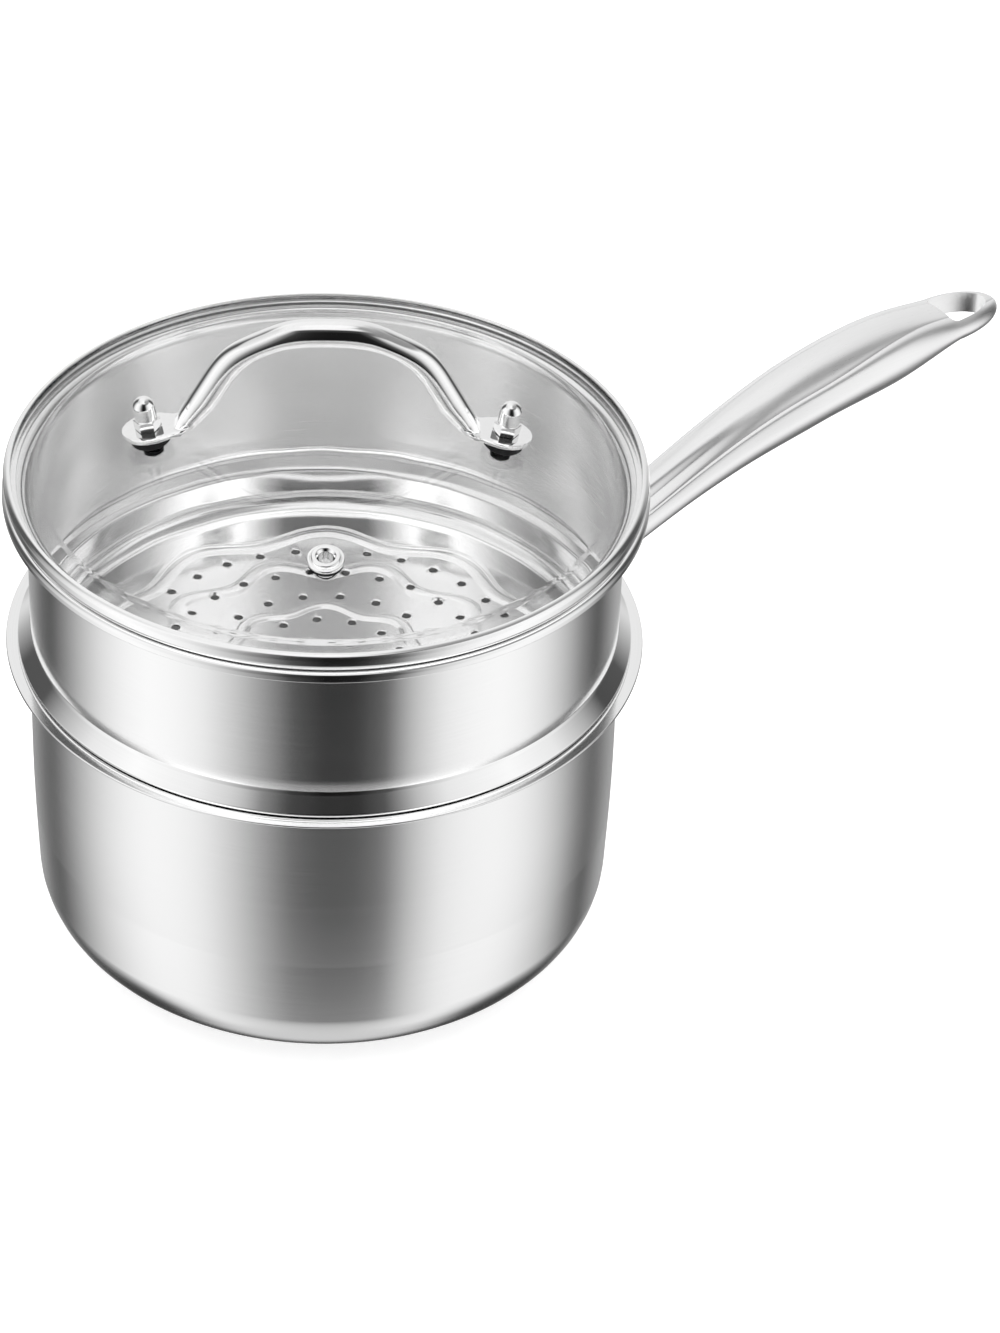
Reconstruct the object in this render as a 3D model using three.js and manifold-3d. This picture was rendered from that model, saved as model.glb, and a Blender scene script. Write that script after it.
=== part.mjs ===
// Saucepan with a steamer insert nested in its rim and a domed glass lid on top.
// Millimetres, +Z up. The origin lies on the pan's axis, on the underside of its base.
// The long handle points along +X.

import * as THREE from 'three';
import { mergeVertices } from 'three/addons/utils/BufferGeometryUtils.js';
import Module from 'manifold-3d';

const wasm = await Module();
wasm.setup();

const { degToRad, lerp, smoothstep } = THREE.MathUtils;

// Fits: the gap left between pieces that touch on the real object
const clearance = 0.3;

// Facets round a turned piece, and in one bend of a pressed sheet
const around = 40;
const bendSteps = 4;

// Saucepan: a pressed steel shell over a heat-spreading base
const panWallRadius = 100.7;
const panSheet = 0.8;
const panHeight = 113.6;
const panCornerRadius = 27.5;
const rimBend = 4;
const rimOverhang = 8.1;
const baseRadius = 71;
const baseCapSheet = 0.8;
const baseCapBend = 2;
const baseCoreThickness = 3.8;

// Steamer insert: a perforated basket whose bead hangs in the pan's rim
const insertWallInset = 0.2;
const insertSheet = 0.8;
const insertHeight = 61.7;
const insertDrop = 16.6;
const insertSkirtGap = 0.8;
const insertCornerRadius = 7;
const lipBend = 4;
const lipOverhang = 8.2;
const lipEdgeBend = 0.8;
const lipEdgeDrop = 2.4;
const shoulderHeight = 7.2;
const beadHeight = 1.2;
const beadSeatWidth = 1.2;
const skirtTopDrop = 2.3;
const steamHoleRadius = 1.55;
const steamHoleSides = 6;
const ringPitch = 13.75;
// Each ring of steam holes, from the middle out: how many, and the first hole's angle
const steamRings = [[6, 16.8], [14, 8.7], [20, 11.1], [28, 8.6], [34, 10.4]];
// Each embossed wave: lobes, mean radius, swing in and out, width of the rib, angle of the first lobe
const ribHeight = 1;
const ribWaves = [[10, 77.2, 3.3, 5, 18.3], [10, 58, 3.7, 4.8, 0.3], [8, 34.3, 2, 3, 9.3]];
const ribSteps = 40;

// Pan handle: a hollow pressed grip, welded to a flange that two rivets hold on the wall
const handleRootDrop = 14.3;
const handleTilt = 21.5;
const handleStraight = 45;
const handleArcRadius = 340;
const handleSheet = 1.2;
// Stations from the root to the start of the rounded tip: distance, half width, half thickness
const handleStations = [
  [0, 9.6, 8.3],
  [36, 10.2, 8.4],
  [71, 12, 9.4],
  [106, 14.4, 10.3],
  [141, 14.9, 8.6],
  [171, 12.6, 3.9],
];
const handleTipLength = 24.3;
const handleHollowLength = 150;
const hangHoleLength = 20.8;
const hangHoleHalfWidth = 8.6;
const hangHoleInset = 1.5;
const flangeSheet = 2;
const flangePad = 0.6;
const flangeHalfWidth = 27;
const flangeHalfHeight = 10.5;
const flangeDrop = 16.8;
const spigotLength = 11;
const rivetSpan = 38;
const rivetDrop = 20.8;
const rivetRadius = 2.5;
const rivetHeadRadius = 4.8;
const rivetHeadHeight = 1.6;

// Lid: a glass dome in a steel band, turned on the pan as it was put down
const lidTurn = -35.7;
const bandInset = 0.5;
const bandSheet = 0.8;
const bandBend = 1.1;
const bandSeatWidth = 4.4;
const bandTopWidth = 2.2;
const glassThickness = 4.4;
const glassMargin = 9.3;
const domeRise = 15.5;

// Lid handle: a bent tube with flattened feet, bolted through the glass
const boltSpacing = 117;
const boltRadius = 2.4;
const barRadius = 4.8;
const barRise = 35.1;
const barShoulderRadius = 21.2;
const barShoulderPinch = 1.4;
const barLegAngle = 57.5;
const barFootRadius = 14;
const barFootToBolt = 11.2;
const barNoseRun = 2.8;
const barNoseHeight = 5.2;
const barNeckHalfWidth = 5.5;
const barTabThickness = 1.8;
const barTabHalfWidth = 8.6;
const barTabEnd = 9;
const barTabCorner = 8.4;
const barSides = 12;
const padRadius = 7.6;
const padThickness = 3.2;
const lowerPadRadius = 4.8;
const lowerPadThickness = 1.2;
const screwHeadRadius = 4.4;
const screwHeadHeight = 1.6;
const nutAcrossFlats = 8;
const capHexHeight = 3.6;
const capDomeRadius = 3.75;
const capDomeHeight = 8;
const capBoreDepth = 7;

// Steam vent: a tubular eyelet through the glass, over a seal
const ventOffset = 67.3;
const ventBoreRadius = 2.5;
const ventTubeRadius = 3.3;
const ventFlangeRadius = 6.3;
const ventFlangeHeight = 2.4;
const ventStepRadius = 4.9;
const ventSealThickness = 1.3;
const ventSealRadius = 5.9;
const ventRollHeight = 0.9;
const ventRollRadius = 4;

// Levels and radii that several pieces share
const baseStack = baseCapSheet + clearance + baseCoreThickness;
const panFloor = baseStack + clearance;
const rimTop = panFloor + panHeight;
const rimRadius = panWallRadius + rimOverhang;
const panInnerRadius = panWallRadius - panSheet;
const insertWallRadius = panWallRadius - insertWallInset;
const insertFloor = rimTop - insertDrop;
const lipTop = rimTop + insertHeight;
const lipRadius = insertWallRadius + lipOverhang;
const bandRadius = lipRadius - bandInset;
const bandBottom = lipTop + clearance;
const glassRadius = bandRadius - bandSheet - clearance;
const glassBottom = bandBottom + bandSheet + clearance;
const glassTop = glassBottom + glassThickness;
const bandTop = glassTop + clearance + bandSheet;
const domeBase = glassRadius - glassMargin;
const domeRadius = (domeBase ** 2 + domeRise ** 2) / (2 * domeRise);
const boltHoleRadius = boltRadius + clearance;
const tabBottom = clearance + padThickness + clearance;
const tabTop = tabBottom + barTabThickness;

// Finishes
const brushedSteel = { color: 0xc4c4c2, roughness: 0.34, metalness: 1 };
const polishedSteel = { color: 0xd8d8d6, roughness: 0.14, metalness: 1 };
const aluminium = { color: 0xb9bbbd, roughness: 0.5, metalness: 1 };
const clearGlass = { color: 0xeef4f2, roughness: 0.03, metalness: 0, transparent: true, opacity: 0.3 };
const darkSilicone = { color: 0x1d1d1f, roughness: 0.7, metalness: 0 };

// Points of an arc in a turning profile; angles in degrees, counted from outwards towards up
function arc(x, z, radius, from, to, steps = bendSteps) {
  return Array.from({ length: steps + 1 }, (_, i) => {
    const angle = degToRad(from + (to - from) * i / steps);
    return new THREE.Vector2(x + radius * Math.cos(angle), z + radius * Math.sin(angle));
  });
}

function point(x, z) {
  return new THREE.Vector2(x, z);
}

// The path moved to its left by a distance, with mitred corners; a point on the axis stays there
function offsetPath(path, distance) {
  return path.map((here, i) => {
    if (here.x === 0) return point(0, here.y + distance);
    const into = i > 0 ? here.clone().sub(path[i - 1]).normalize() : null;
    const outOf = i < path.length - 1 ? path[i + 1].clone().sub(here).normalize() : into;
    const first = into ?? outOf;
    const normal = point(-first.y, first.x);
    const mitre = normal.clone().add(point(-outOf.y, outOf.x)).normalize();
    return here.clone().addScaledVector(mitre, distance / mitre.dot(normal));
  });
}

// A pressed sheet's closed profile: its outside path and the same path one sheet further in
function sheetProfile(path, sheet) {
  const profile = [...path, ...offsetPath(path, sheet).reverse()];
  if (profile[0].x !== 0) profile.push(profile[0].clone());
  return profile;
}

// Merge shared vertices, drop slivers and make the faces point out
function closed(geometry) {
  geometry.deleteAttribute('normal');
  geometry.deleteAttribute('uv');
  const merged = mergeVertices(geometry, 1e-4);
  const position = merged.getAttribute('position');
  const old = merged.getIndex().array;
  const kept = [];
  let volume = 0;
  const [a, b, c] = [new THREE.Vector3(), new THREE.Vector3(), new THREE.Vector3()];
  for (let i = 0; i < old.length; i += 3) {
    const [p, q, r] = [old[i], old[i + 1], old[i + 2]];
    if (p === q || q === r || r === p) continue;
    kept.push(p, q, r);
    a.fromBufferAttribute(position, p);
    b.fromBufferAttribute(position, q);
    c.fromBufferAttribute(position, r);
    volume += a.dot(b.cross(c));
  }
  if (volume < 0) kept.reverse();
  merged.setIndex(kept);
  return merged;
}

// A closed profile turned about Z
function turned(profile, sides = around) {
  return closed(new THREE.LatheGeometry(profile, sides).rotateX(Math.PI / 2));
}

// A plain ring or disc between two heights
function ring(inner, outer, low, high, sides = around) {
  const corners = [point(inner, low), point(outer, low), point(outer, high), point(inner, high)];
  return turned(inner > 0 ? [...corners, corners[0].clone()] : corners, sides);
}

// A closed skin over rings of points, each end closed to its middle
function loft(rings) {
  const sides = rings[0].length;
  const positions = rings.flat().flatMap((p) => p.toArray());
  const faces = [];
  for (let i = 0; i < rings.length - 1; i++) {
    for (let j = 0; j < sides; j++) {
      const [a, b] = [i * sides + j, i * sides + (j + 1) % sides];
      faces.push(a, b, b + sides, a, b + sides, a + sides);
    }
  }
  [0, rings.length - 1].forEach((end) => {
    const middle = positions.length / 3;
    const centre = rings[end].reduce((sum, p) => sum.add(p), new THREE.Vector3()).divideScalar(sides);
    positions.push(...centre.toArray());
    for (let j = 0; j < sides; j++) {
      const [a, b] = [end * sides + j, end * sides + (j + 1) % sides];
      faces.push(...(end === 0 ? [middle, b, a] : [middle, a, b]));
    }
  });
  const geometry = new THREE.BufferGeometry();
  geometry.setAttribute('position', new THREE.Float32BufferAttribute(positions, 3));
  geometry.setIndex(faces);
  return closed(geometry);
}

// A flat outline raised along Z
function prism(outline, low, high, holes = []) {
  const shape = new THREE.Shape(outline);
  shape.holes = holes.map((hole) => new THREE.Path(hole));
  const raised = new THREE.ExtrudeGeometry(shape, { depth: high - low, bevelEnabled: false });
  return closed(raised.translate(0, 0, low));
}

function solidOf(geometry) {
  const vertProperties = new Float32Array(geometry.getAttribute('position').array);
  const triVerts = new Uint32Array(geometry.getIndex().array);
  return new wasm.Manifold(new wasm.Mesh({ numProp: 3, vertProperties, triVerts }));
}

function geometryOf(solid) {
  const { vertProperties, triVerts } = solid.getMesh();
  const geometry = new THREE.BufferGeometry();
  geometry.setAttribute('position', new THREE.BufferAttribute(vertProperties, 3));
  geometry.setIndex(new THREE.BufferAttribute(triVerts, 1));
  return geometry;
}

function cut(body, ...tools) {
  return geometryOf(tools.reduce((rest, tool) => rest.subtract(solidOf(tool)), solidOf(body)));
}

function join(body, ...others) {
  return geometryOf(others.reduce((whole, other) => whole.add(solidOf(other)), solidOf(body)));
}

function common(body, other) {
  return geometryOf(solidOf(body).intersect(solidOf(other)));
}

function piece(name, geometry, finish) {
  const mesh = new THREE.Mesh(geometry, new THREE.MeshStandardMaterial(finish));
  mesh.name = name;
  return mesh;
}

// Saucepan shell: flat floor, round corner, straight wall and a rim flared out flat
function saucepanShell() {
  const rimUnder = rimTop - panSheet;
  const corner = panWallRadius - panCornerRadius;
  const outside = [
    point(0, panFloor),
    ...arc(corner, panFloor + panCornerRadius, panCornerRadius, -90, 0, 6),
    ...arc(panWallRadius + rimBend, rimUnder - rimBend, rimBend, 180, 90),
    point(rimRadius, rimUnder),
  ];
  const shell = turned(sheetProfile(outside, panSheet));
  return cut(shell, ...[-1, 1].map((side) => rivetHole(side)));
}

// Base core: a disc that fills the cap, its lower edge rounded to lie in the cap's bend
function baseCore() {
  const edge = baseCapBend - baseCapSheet - clearance;
  const low = baseCapSheet + clearance;
  return turned([
    point(0, low),
    ...arc(baseRadius - baseCapBend, baseCapBend, edge, -90, 0, 2),
    point(baseRadius - low, baseStack),
    point(0, baseStack),
  ]);
}

// Base cap: a shallow steel dish that encloses the core from below
function baseCap() {
  const outside = [
    point(0, 0),
    ...arc(baseRadius - baseCapBend, baseCapBend, baseCapBend, -90, 0, 2),
    point(baseRadius, baseStack),
  ];
  return turned(sheetProfile(outside, baseCapSheet));
}

// Where a rivet stands: its angle round the wall
function rivetAngle(side) {
  return side * Math.asin(rivetSpan / 2 / panWallRadius);
}

// A shape turned about Z, laid along the rivet's radial axis
function alongRivet(geometry, side) {
  return geometry.rotateY(Math.PI / 2).translate(0, 0, rimTop - rivetDrop).rotateZ(rivetAngle(side));
}

function rivetHole(side) {
  const [from, to] = [panInnerRadius - rivetHeadRadius, panWallRadius + 2 * flangeSheet];
  return alongRivet(ring(0, rivetRadius + clearance, from, to, 10), side);
}

// Rivet: a shank through wall and flange, with a low round head at each end
function handleRivet(side) {
  const inside = panInnerRadius * Math.cos(Math.PI / around) - clearance;
  const outside = panWallRadius + clearance + flangeSheet + clearance;
  const profile = [
    point(0, inside - rivetHeadHeight),
    point(rivetHeadRadius * 0.6, inside - rivetHeadHeight * 0.85),
    point(rivetHeadRadius, inside - rivetHeadHeight * 0.25),
    point(rivetHeadRadius, inside),
    point(rivetRadius, inside),
    point(rivetRadius, outside),
    point(rivetHeadRadius, outside),
    point(rivetHeadRadius, outside + rivetHeadHeight * 0.25),
    point(rivetHeadRadius * 0.6, outside + rivetHeadHeight * 0.85),
    point(0, outside + rivetHeadHeight),
  ];
  return alongRivet(turned(profile, 12), side);
}

const handleRoot = panWallRadius + clearance + flangeSheet + flangePad + clearance;

// Height of the handle's middle line at a distance from its root
function handleLevel(distance) {
  const start = rimTop - handleRootDrop;
  const tilt = degToRad(handleTilt);
  const straight = Math.min(distance, handleStraight);
  const bent = Math.sin(tilt) - (distance - straight) / handleArcRadius;
  const lift = handleArcRadius * (Math.sqrt(1 - bent * bent) - Math.cos(tilt));
  return start + straight * Math.tan(tilt) + lift;
}

// The handle's section across X: a crown between two valleys, a roll down each side, a full underside
function handleSection(distance, halfWidth, halfThickness) {
  const crown = [[0, 1], [0.38, 0.93], [0.62, 0.62], [0.76, 0.34]];
  const right = [...crown, [0.9, 0.24], [1, -0.25], [0.93, -0.68], [0.7, -0.93]];
  const left = right.slice(1).reverse().map(([y, z]) => [-y, z]);
  return [...right, [0, -1], ...left].map(([y, z]) => new THREE.Vector3(
    handleRoot + distance,
    y * halfWidth,
    handleLevel(distance) + z * halfThickness,
  ));
}

// Half width and half thickness between the stations, as one smooth curve
function handleCurve(shrink = 0) {
  const knots = handleStations.map(([distance, width, thickness]) => (
    new THREE.Vector3(distance, width - shrink, thickness - shrink)
  ));
  return new THREE.CatmullRomCurve3(knots);
}

// Sections of the hollow, or of what plugs it, between two distances from the root
function handleCore(shrink, from, to, steps) {
  const table = handleCurve(shrink).getPoints(40);
  return Array.from({ length: steps + 1 }, (_, i) => {
    const distance = from + (to - from) * i / steps;
    const near = table.find((knot) => knot.x >= distance) ?? table[table.length - 1];
    return handleSection(distance, near.y, near.z);
  });
}

function panHandle() {
  const grip = handleCurve().getPoints(14).map((knot) => handleSection(knot.x, knot.y, knot.z));
  const [tipStart, tipHalfWidth, tipHalfThickness] = handleStations[handleStations.length - 1];
  const tip = [20, 40, 58, 73, 86].map((angle) => {
    const turn = degToRad(angle);
    const distance = tipStart + handleTipLength * Math.sin(turn);
    return handleSection(distance, tipHalfWidth * Math.cos(turn), tipHalfThickness * Math.cos(turn) ** 0.6);
  });
  const hollow = loft(handleCore(handleSheet, -handleSheet, handleHollowLength, 9));
  const start = handleRoot + tipStart - hangHoleInset;
  const outline = arc(0, 0, 1, -90, 90, 12).map((p) => (
    point(start + p.x * hangHoleLength, p.y * hangHoleHalfWidth)
  ));
  const middle = handleLevel(tipStart);
  const hangHole = prism(outline, middle - handleTipLength, middle + handleTipLength);
  return cut(loft([...grip, ...tip]), hollow, hangHole);
}

// Flange: a curved plate on the wall, a flat pad for the handle's end and a plug that enters its hollow
function handleFlange() {
  const inner = panWallRadius + clearance;
  const middle = rimTop - flangeDrop;
  const outline = [0, 180].flatMap((turn) => (
    arc(turn === 0 ? flangeHalfWidth - flangeHalfHeight : flangeHalfHeight - flangeHalfWidth, 0,
      flangeHalfHeight, turn - 90, turn + 90, 8)
  ));
  const upright = prism(outline, 0, inner + flangeSheet + flangePad)
    .rotateX(Math.PI / 2).rotateZ(Math.PI / 2).translate(0, 0, middle);
  const [low, high] = [middle - 2 * flangeHalfHeight, middle + 2 * flangeHalfHeight];
  const sleeve = ring(inner, inner + flangeSheet, low, high);
  const plate = cut(common(upright, sleeve), rivetHole(-1), rivetHole(1));
  const padFoot = -flangeSheet - flangePad - clearance;
  const [, padWidth, padThickness] = handleStations[0];
  const pad = loft([padFoot, -clearance].map((at) => (
    handleSection(at, padWidth, padThickness).map((p) => p.setZ(p.z - handleLevel(at) + handleLevel(0)))
  )));
  const wall = ring(0, inner, low, high);
  const plug = loft(handleCore(handleSheet + clearance, -clearance - flangePad, spigotLength, 3));
  return join(plate, cut(pad, wall), plug);
}

// The insert's embossed rib: a closed wave of one width round the floor
function ribOutline(lobes, radius, swing, turn) {
  return Array.from({ length: ribSteps }, (_, i) => {
    const angle = 2 * Math.PI * i / ribSteps;
    const reach = radius + swing * Math.cos(lobes * (angle - degToRad(turn)));
    return point(reach * Math.cos(angle), reach * Math.sin(angle));
  });
}

function steamHoles() {
  return steamRings.flatMap(([count, first], k) => Array.from({ length: count }, (_, i) => {
    const angle = degToRad(first + 360 * i / count);
    const reach = (k + 1) * ringPitch;
    return ring(0, steamHoleRadius, -insertSheet - ribHeight, 2 * ribHeight + insertSheet, steamHoleSides)
      .translate(reach * Math.cos(angle), reach * Math.sin(angle), insertFloor);
  }));
}

// Steamer insert: floor, skirt, the bead that rests on the pan's rim, shoulder, wall, and a flared lip
// whose edge is turned down
function steamerInsert() {
  const skirt = panInnerRadius - insertSkirtGap;
  const bead = panWallRadius + rimBend;
  const beadUnder = rimTop + clearance;
  const lipUnder = lipTop - insertSheet;
  const lipInner = lipRadius - insertSheet;
  const outside = [
    point(0, insertFloor),
    ...arc(skirt - insertCornerRadius, insertFloor + insertCornerRadius, insertCornerRadius, -90, 0),
    point(skirt, beadUnder - skirtTopDrop),
    point(bead - beadSeatWidth, beadUnder),
    point(bead, beadUnder + beadHeight),
    point(insertWallRadius, rimTop + shoulderHeight),
    ...arc(insertWallRadius + lipBend, lipUnder - lipBend, lipBend, 180, 90),
    ...arc(lipInner - lipEdgeBend, lipUnder - lipEdgeBend, lipEdgeBend, 90, 0, 2),
    point(lipInner, lipUnder - lipEdgeDrop),
  ];
  const basket = turned(sheetProfile(outside, insertSheet));
  const ribs = ribWaves.map(([lobes, radius, swing, width, turn]) => prism(
    ribOutline(lobes, radius + width / 2, swing, turn),
    insertFloor + insertSheet / 2,
    insertFloor + insertSheet + ribHeight,
    [ribOutline(lobes, radius - width / 2, swing, turn)],
  ));
  return cut(join(basket, ...ribs), ...steamHoles());
}

// Height of the glass's outer face at a distance from the lid's axis
function domeLevel(radius) {
  return glassTop + domeRise - domeRadius + Math.sqrt(domeRadius ** 2 - radius ** 2);
}

// Place a group on the dome, its own Z along the glass's normal
function onDome(object, angle, radius) {
  object.position.set(radius * Math.cos(angle), radius * Math.sin(angle), domeLevel(radius));
  object.rotation.set(0, Math.asin(radius / domeRadius), angle, 'ZYX');
  object.updateMatrix();
  return object;
}

function domeHole(angle, radius, holeRadius) {
  const tool = ring(0, holeRadius, -3 * glassThickness, 2 * glassThickness, 14);
  return tool.applyMatrix4(onDome(new THREE.Object3D(), angle, radius).matrix);
}

// Glass: a spherical dome with a flat margin that the band grips
function lidGlass() {
  const edge = Math.asin(domeBase / domeRadius);
  const inner = domeRadius - glassThickness;
  const centre = glassTop + domeRise - domeRadius;
  const steps = 7;
  const under = Array.from({ length: steps }, (_, i) => {
    const angle = edge * i / steps;
    return point(inner * Math.sin(angle), centre + inner * Math.cos(angle));
  });
  const path = [...under, point(domeBase, glassBottom), point(glassRadius, glassBottom)];
  return cut(
    turned(sheetProfile(path, glassThickness)),
    domeHole(0, boltSpacing / 2, boltHoleRadius),
    domeHole(Math.PI, boltSpacing / 2, boltHoleRadius),
    domeHole(-Math.PI / 2, ventOffset, ventTubeRadius + clearance),
  );
}

// Band: a channel rolled round the edge of the glass; its foot rests on the insert's lip
function lidBand() {
  const outside = [
    point(bandRadius - bandSeatWidth, bandBottom),
    ...arc(bandRadius - bandBend, bandBottom + bandBend, bandBend, -90, 0, 2),
    ...arc(bandRadius - bandBend, bandTop - bandBend, bandBend, 0, 90, 2),
    point(bandRadius - bandTopWidth, bandTop),
  ];
  return turned(sheetProfile(outside, bandSheet));
}

// The underside of half the lid handle, from its middle to the end of its foot. Each station holds its place,
// its heading, its half width, its height, the height of its widest line and how flat it is.
function barStations() {
  const tilt = Math.asin(boltSpacing / 2 / domeRadius);
  const leg = degToRad(barLegAngle);
  const footX = boltSpacing / 2 + tabBottom * Math.sin(tilt);
  const footZ = domeLevel(boltSpacing / 2) + tabBottom * Math.cos(tilt);
  const shoulderDrop = barShoulderRadius * (1 - Math.cos(leg));
  const footDrop = barFootRadius * (Math.cos(tilt) - Math.cos(leg)) + barFootToBolt * Math.sin(tilt);
  const legLength = (barRise - shoulderDrop - footDrop) / Math.sin(leg);
  const footRun = barFootRadius * (Math.sin(leg) - Math.sin(tilt)) + barFootToBolt * Math.cos(tilt);
  const crown = footX - footRun - legLength * Math.cos(leg) - barShoulderRadius * Math.sin(leg);

  const stations = [];
  const place = point(0, footZ + barRise);
  const pinched = (pinch) => (
    { halfWidth: barRadius, height: 2 * barRadius - pinch, middle: barRadius - pinch / 2, flat: 0 }
  );
  const round = pinched(0);
  const add = (heading, shape) => stations.push({ at: place.clone(), heading, ...shape });
  const bend = (radius, from, to, steps, shape) => {
    for (let i = 1; i <= steps; i++) {
      const [before, heading] = [from + (to - from) * (i - 1) / steps, from + (to - from) * i / steps];
      const side = Math.sign(to - from);
      place.x += side * radius * (Math.sin(heading) - Math.sin(before));
      place.y -= side * radius * (Math.cos(heading) - Math.cos(before));
      add(heading, shape(i / steps));
    }
  };
  const forward = (length, heading) => {
    place.x += length * Math.cos(heading);
    place.y += length * Math.sin(heading);
  };
  const tab = (halfWidth) => (
    { halfWidth, height: barTabThickness, middle: barTabThickness / 2, flat: 1 }
  );
  add(0, round);
  forward(crown, 0);
  add(0, round);
  bend(barShoulderRadius, 0, -leg, 6, (share) => pinched(barShoulderPinch * Math.sin(Math.PI * share)));
  forward(legLength, -leg);
  add(-leg, round);
  // In the foot's bend the top of the bar runs straight on, then rounds down to a nose on the tab
  const nose = (share, height) => ({
    halfWidth: lerp(barRadius, barNeckHalfWidth, share),
    height,
    middle: lerp(barRadius, barTabThickness / 2, share),
    flat: 0,
  });
  bend(barFootRadius, -leg, -tilt, 6, (share) => {
    const turn = share * (leg - tilt);
    const top = (2 * barRadius - barFootRadius * (1 - Math.cos(turn))) / Math.cos(turn);
    return nose(smoothstep(share, 0.4, 1), lerp(top, barNoseHeight, smoothstep(share, 0.5, 1)));
  });
  forward(barNoseRun * 0.6, -tilt);
  add(-tilt, nose(1, lerp(barNoseHeight, barTabThickness, 0.4)));
  forward(barNoseRun * 0.4, -tilt);
  add(-tilt, tab(barNeckHalfWidth));
  forward(barFootToBolt - barNoseRun, -tilt);
  let left = barTabEnd;
  [1, 0.6, 0.3, 0.12, 0.02].forEach((share) => {
    const end = share * barTabCorner;
    const inset = barTabCorner - end;
    forward(left - end, -tilt);
    left = end;
    add(-tilt, tab(barTabHalfWidth - barTabCorner + Math.sqrt(barTabCorner ** 2 - inset ** 2)));
  });
  return stations;
}

// One section of the bar: a round tube that turns into a flat foot with a rounded end
function barSection({ at, heading, halfWidth, height, middle, flat }) {
  const power = 1 - 0.6 * flat;
  return Array.from({ length: barSides }, (_, i) => {
    const angle = 2 * Math.PI * (i + 0.5) / barSides;
    const across = halfWidth * Math.sign(Math.cos(angle)) * Math.abs(Math.cos(angle)) ** power;
    const rise = Math.abs(Math.sin(angle)) ** power;
    const up = Math.sin(angle) > 0 ? middle + (height - middle) * rise : middle * (1 - rise);
    return new THREE.Vector3(at.x - up * Math.sin(heading), across, at.y + up * Math.cos(heading));
  });
}

function lidBar() {
  const right = barStations().map(barSection);
  const mirrored = (section) => section.map((p) => new THREE.Vector3(-p.x, p.y, p.z));
  const left = right.slice(1).reverse().map(mirrored);
  const holes = [0, Math.PI].map((angle) => domeHole(angle, boltSpacing / 2, boltHoleRadius));
  return cut(loft([...left, ...right]), ...holes);
}

// A hexagon of a nut's width across flats
function hexagon() {
  return Array.from({ length: 6 }, (_, i) => {
    const corner = nutAcrossFlats / 2 / Math.cos(Math.PI / 6);
    return point(corner * Math.cos(Math.PI * i / 3), corner * Math.sin(Math.PI * i / 3));
  });
}

// Cap nut: a hexagon with a tall dome that closes over the screw's end
function capNut(low) {
  const hexTop = low + capHexHeight;
  const domeStart = hexTop + capDomeHeight - capDomeRadius;
  const dome = turned([
    point(0, hexTop - capHexHeight / 2),
    point(capDomeRadius, hexTop - capHexHeight / 2),
    ...arc(0, domeStart, capDomeRadius, 0, 90, 4),
  ], 14);
  const bore = ring(0, boltHoleRadius, low - capHexHeight, low + capBoreDepth, 14);
  return cut(join(prism(hexagon(), low, hexTop), dome), bore);
}

// Screw: a low round head under the lid and a shank up into the cap nut
function lidScrew(headTop, shankTop) {
  return turned([
    point(0, headTop - screwHeadHeight),
    point(screwHeadRadius * 0.7, headTop - screwHeadHeight * 0.9),
    point(screwHeadRadius, headTop - screwHeadHeight * 0.4),
    point(screwHeadRadius, headTop),
    point(boltRadius, headTop),
    point(boltRadius, shankTop),
    point(0, shankTop),
  ], 14);
}

// Everything that holds one foot of the lid handle, stacked along the bolt
function lidFastening(name, angle) {
  const group = onDome(new THREE.Group(), angle, boltSpacing / 2);
  const lowerPadTop = -glassThickness - clearance;
  const headTop = lowerPadTop - lowerPadThickness - clearance;
  const capLow = tabTop + clearance;
  const pad = (radius, top, thickness) => ring(boltHoleRadius, radius, top - thickness, top, 20);
  group.add(
    piece(`lid_pad_upper_${name}`, pad(padRadius, clearance + padThickness, padThickness), darkSilicone),
    piece(`lid_pad_lower_${name}`, pad(lowerPadRadius, lowerPadTop, lowerPadThickness), darkSilicone),
    piece(`lid_screw_${name}`, lidScrew(headTop, capLow + capBoreDepth - clearance), polishedSteel),
    piece(`lid_cap_nut_${name}`, capNut(capLow), polishedSteel),
  );
  return group;
}

// Steam vent: a seal on the glass and an eyelet through both, rolled out under the glass
function steamVent() {
  const group = onDome(new THREE.Group(), -Math.PI / 2, ventOffset);
  const sides = 20;
  const sealTop = clearance + ventSealThickness;
  const flangeLow = sealTop + clearance;
  const flangeTop = flangeLow + ventFlangeHeight;
  const rollTop = -glassThickness - clearance;
  const eyelet = [
    point(ventBoreRadius, rollTop - ventRollHeight),
    point(ventRollRadius, rollTop - ventRollHeight),
    point(ventRollRadius, rollTop),
    point(ventTubeRadius, rollTop),
    point(ventTubeRadius, flangeLow),
    point(ventFlangeRadius, flangeLow),
    point(ventFlangeRadius, flangeLow + ventFlangeHeight * 0.35),
    point(ventStepRadius, flangeLow + ventFlangeHeight * 0.6),
    point(ventStepRadius - 0.4, flangeTop),
    point(ventBoreRadius + 0.4, flangeTop),
    point(ventBoreRadius, flangeTop - 0.5),
  ];
  const seal = ring(ventTubeRadius + clearance, ventSealRadius, clearance, sealTop, sides);
  group.add(
    piece('vent_eyelet', turned([...eyelet, eyelet[0].clone()], sides), polishedSteel),
    piece('vent_seal', seal, darkSilicone),
  );
  return group;
}

const saucepan = new THREE.Group();
saucepan.add(
  piece('saucepan_shell', saucepanShell(), brushedSteel),
  piece('base_core', baseCore(), aluminium),
  piece('base_cap', baseCap(), brushedSteel),
  piece('handle_flange', handleFlange(), brushedSteel),
  piece('handle_rivet_left', handleRivet(1), polishedSteel),
  piece('handle_rivet_right', handleRivet(-1), polishedSteel),
  piece('pan_handle', panHandle(), brushedSteel),
);

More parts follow.
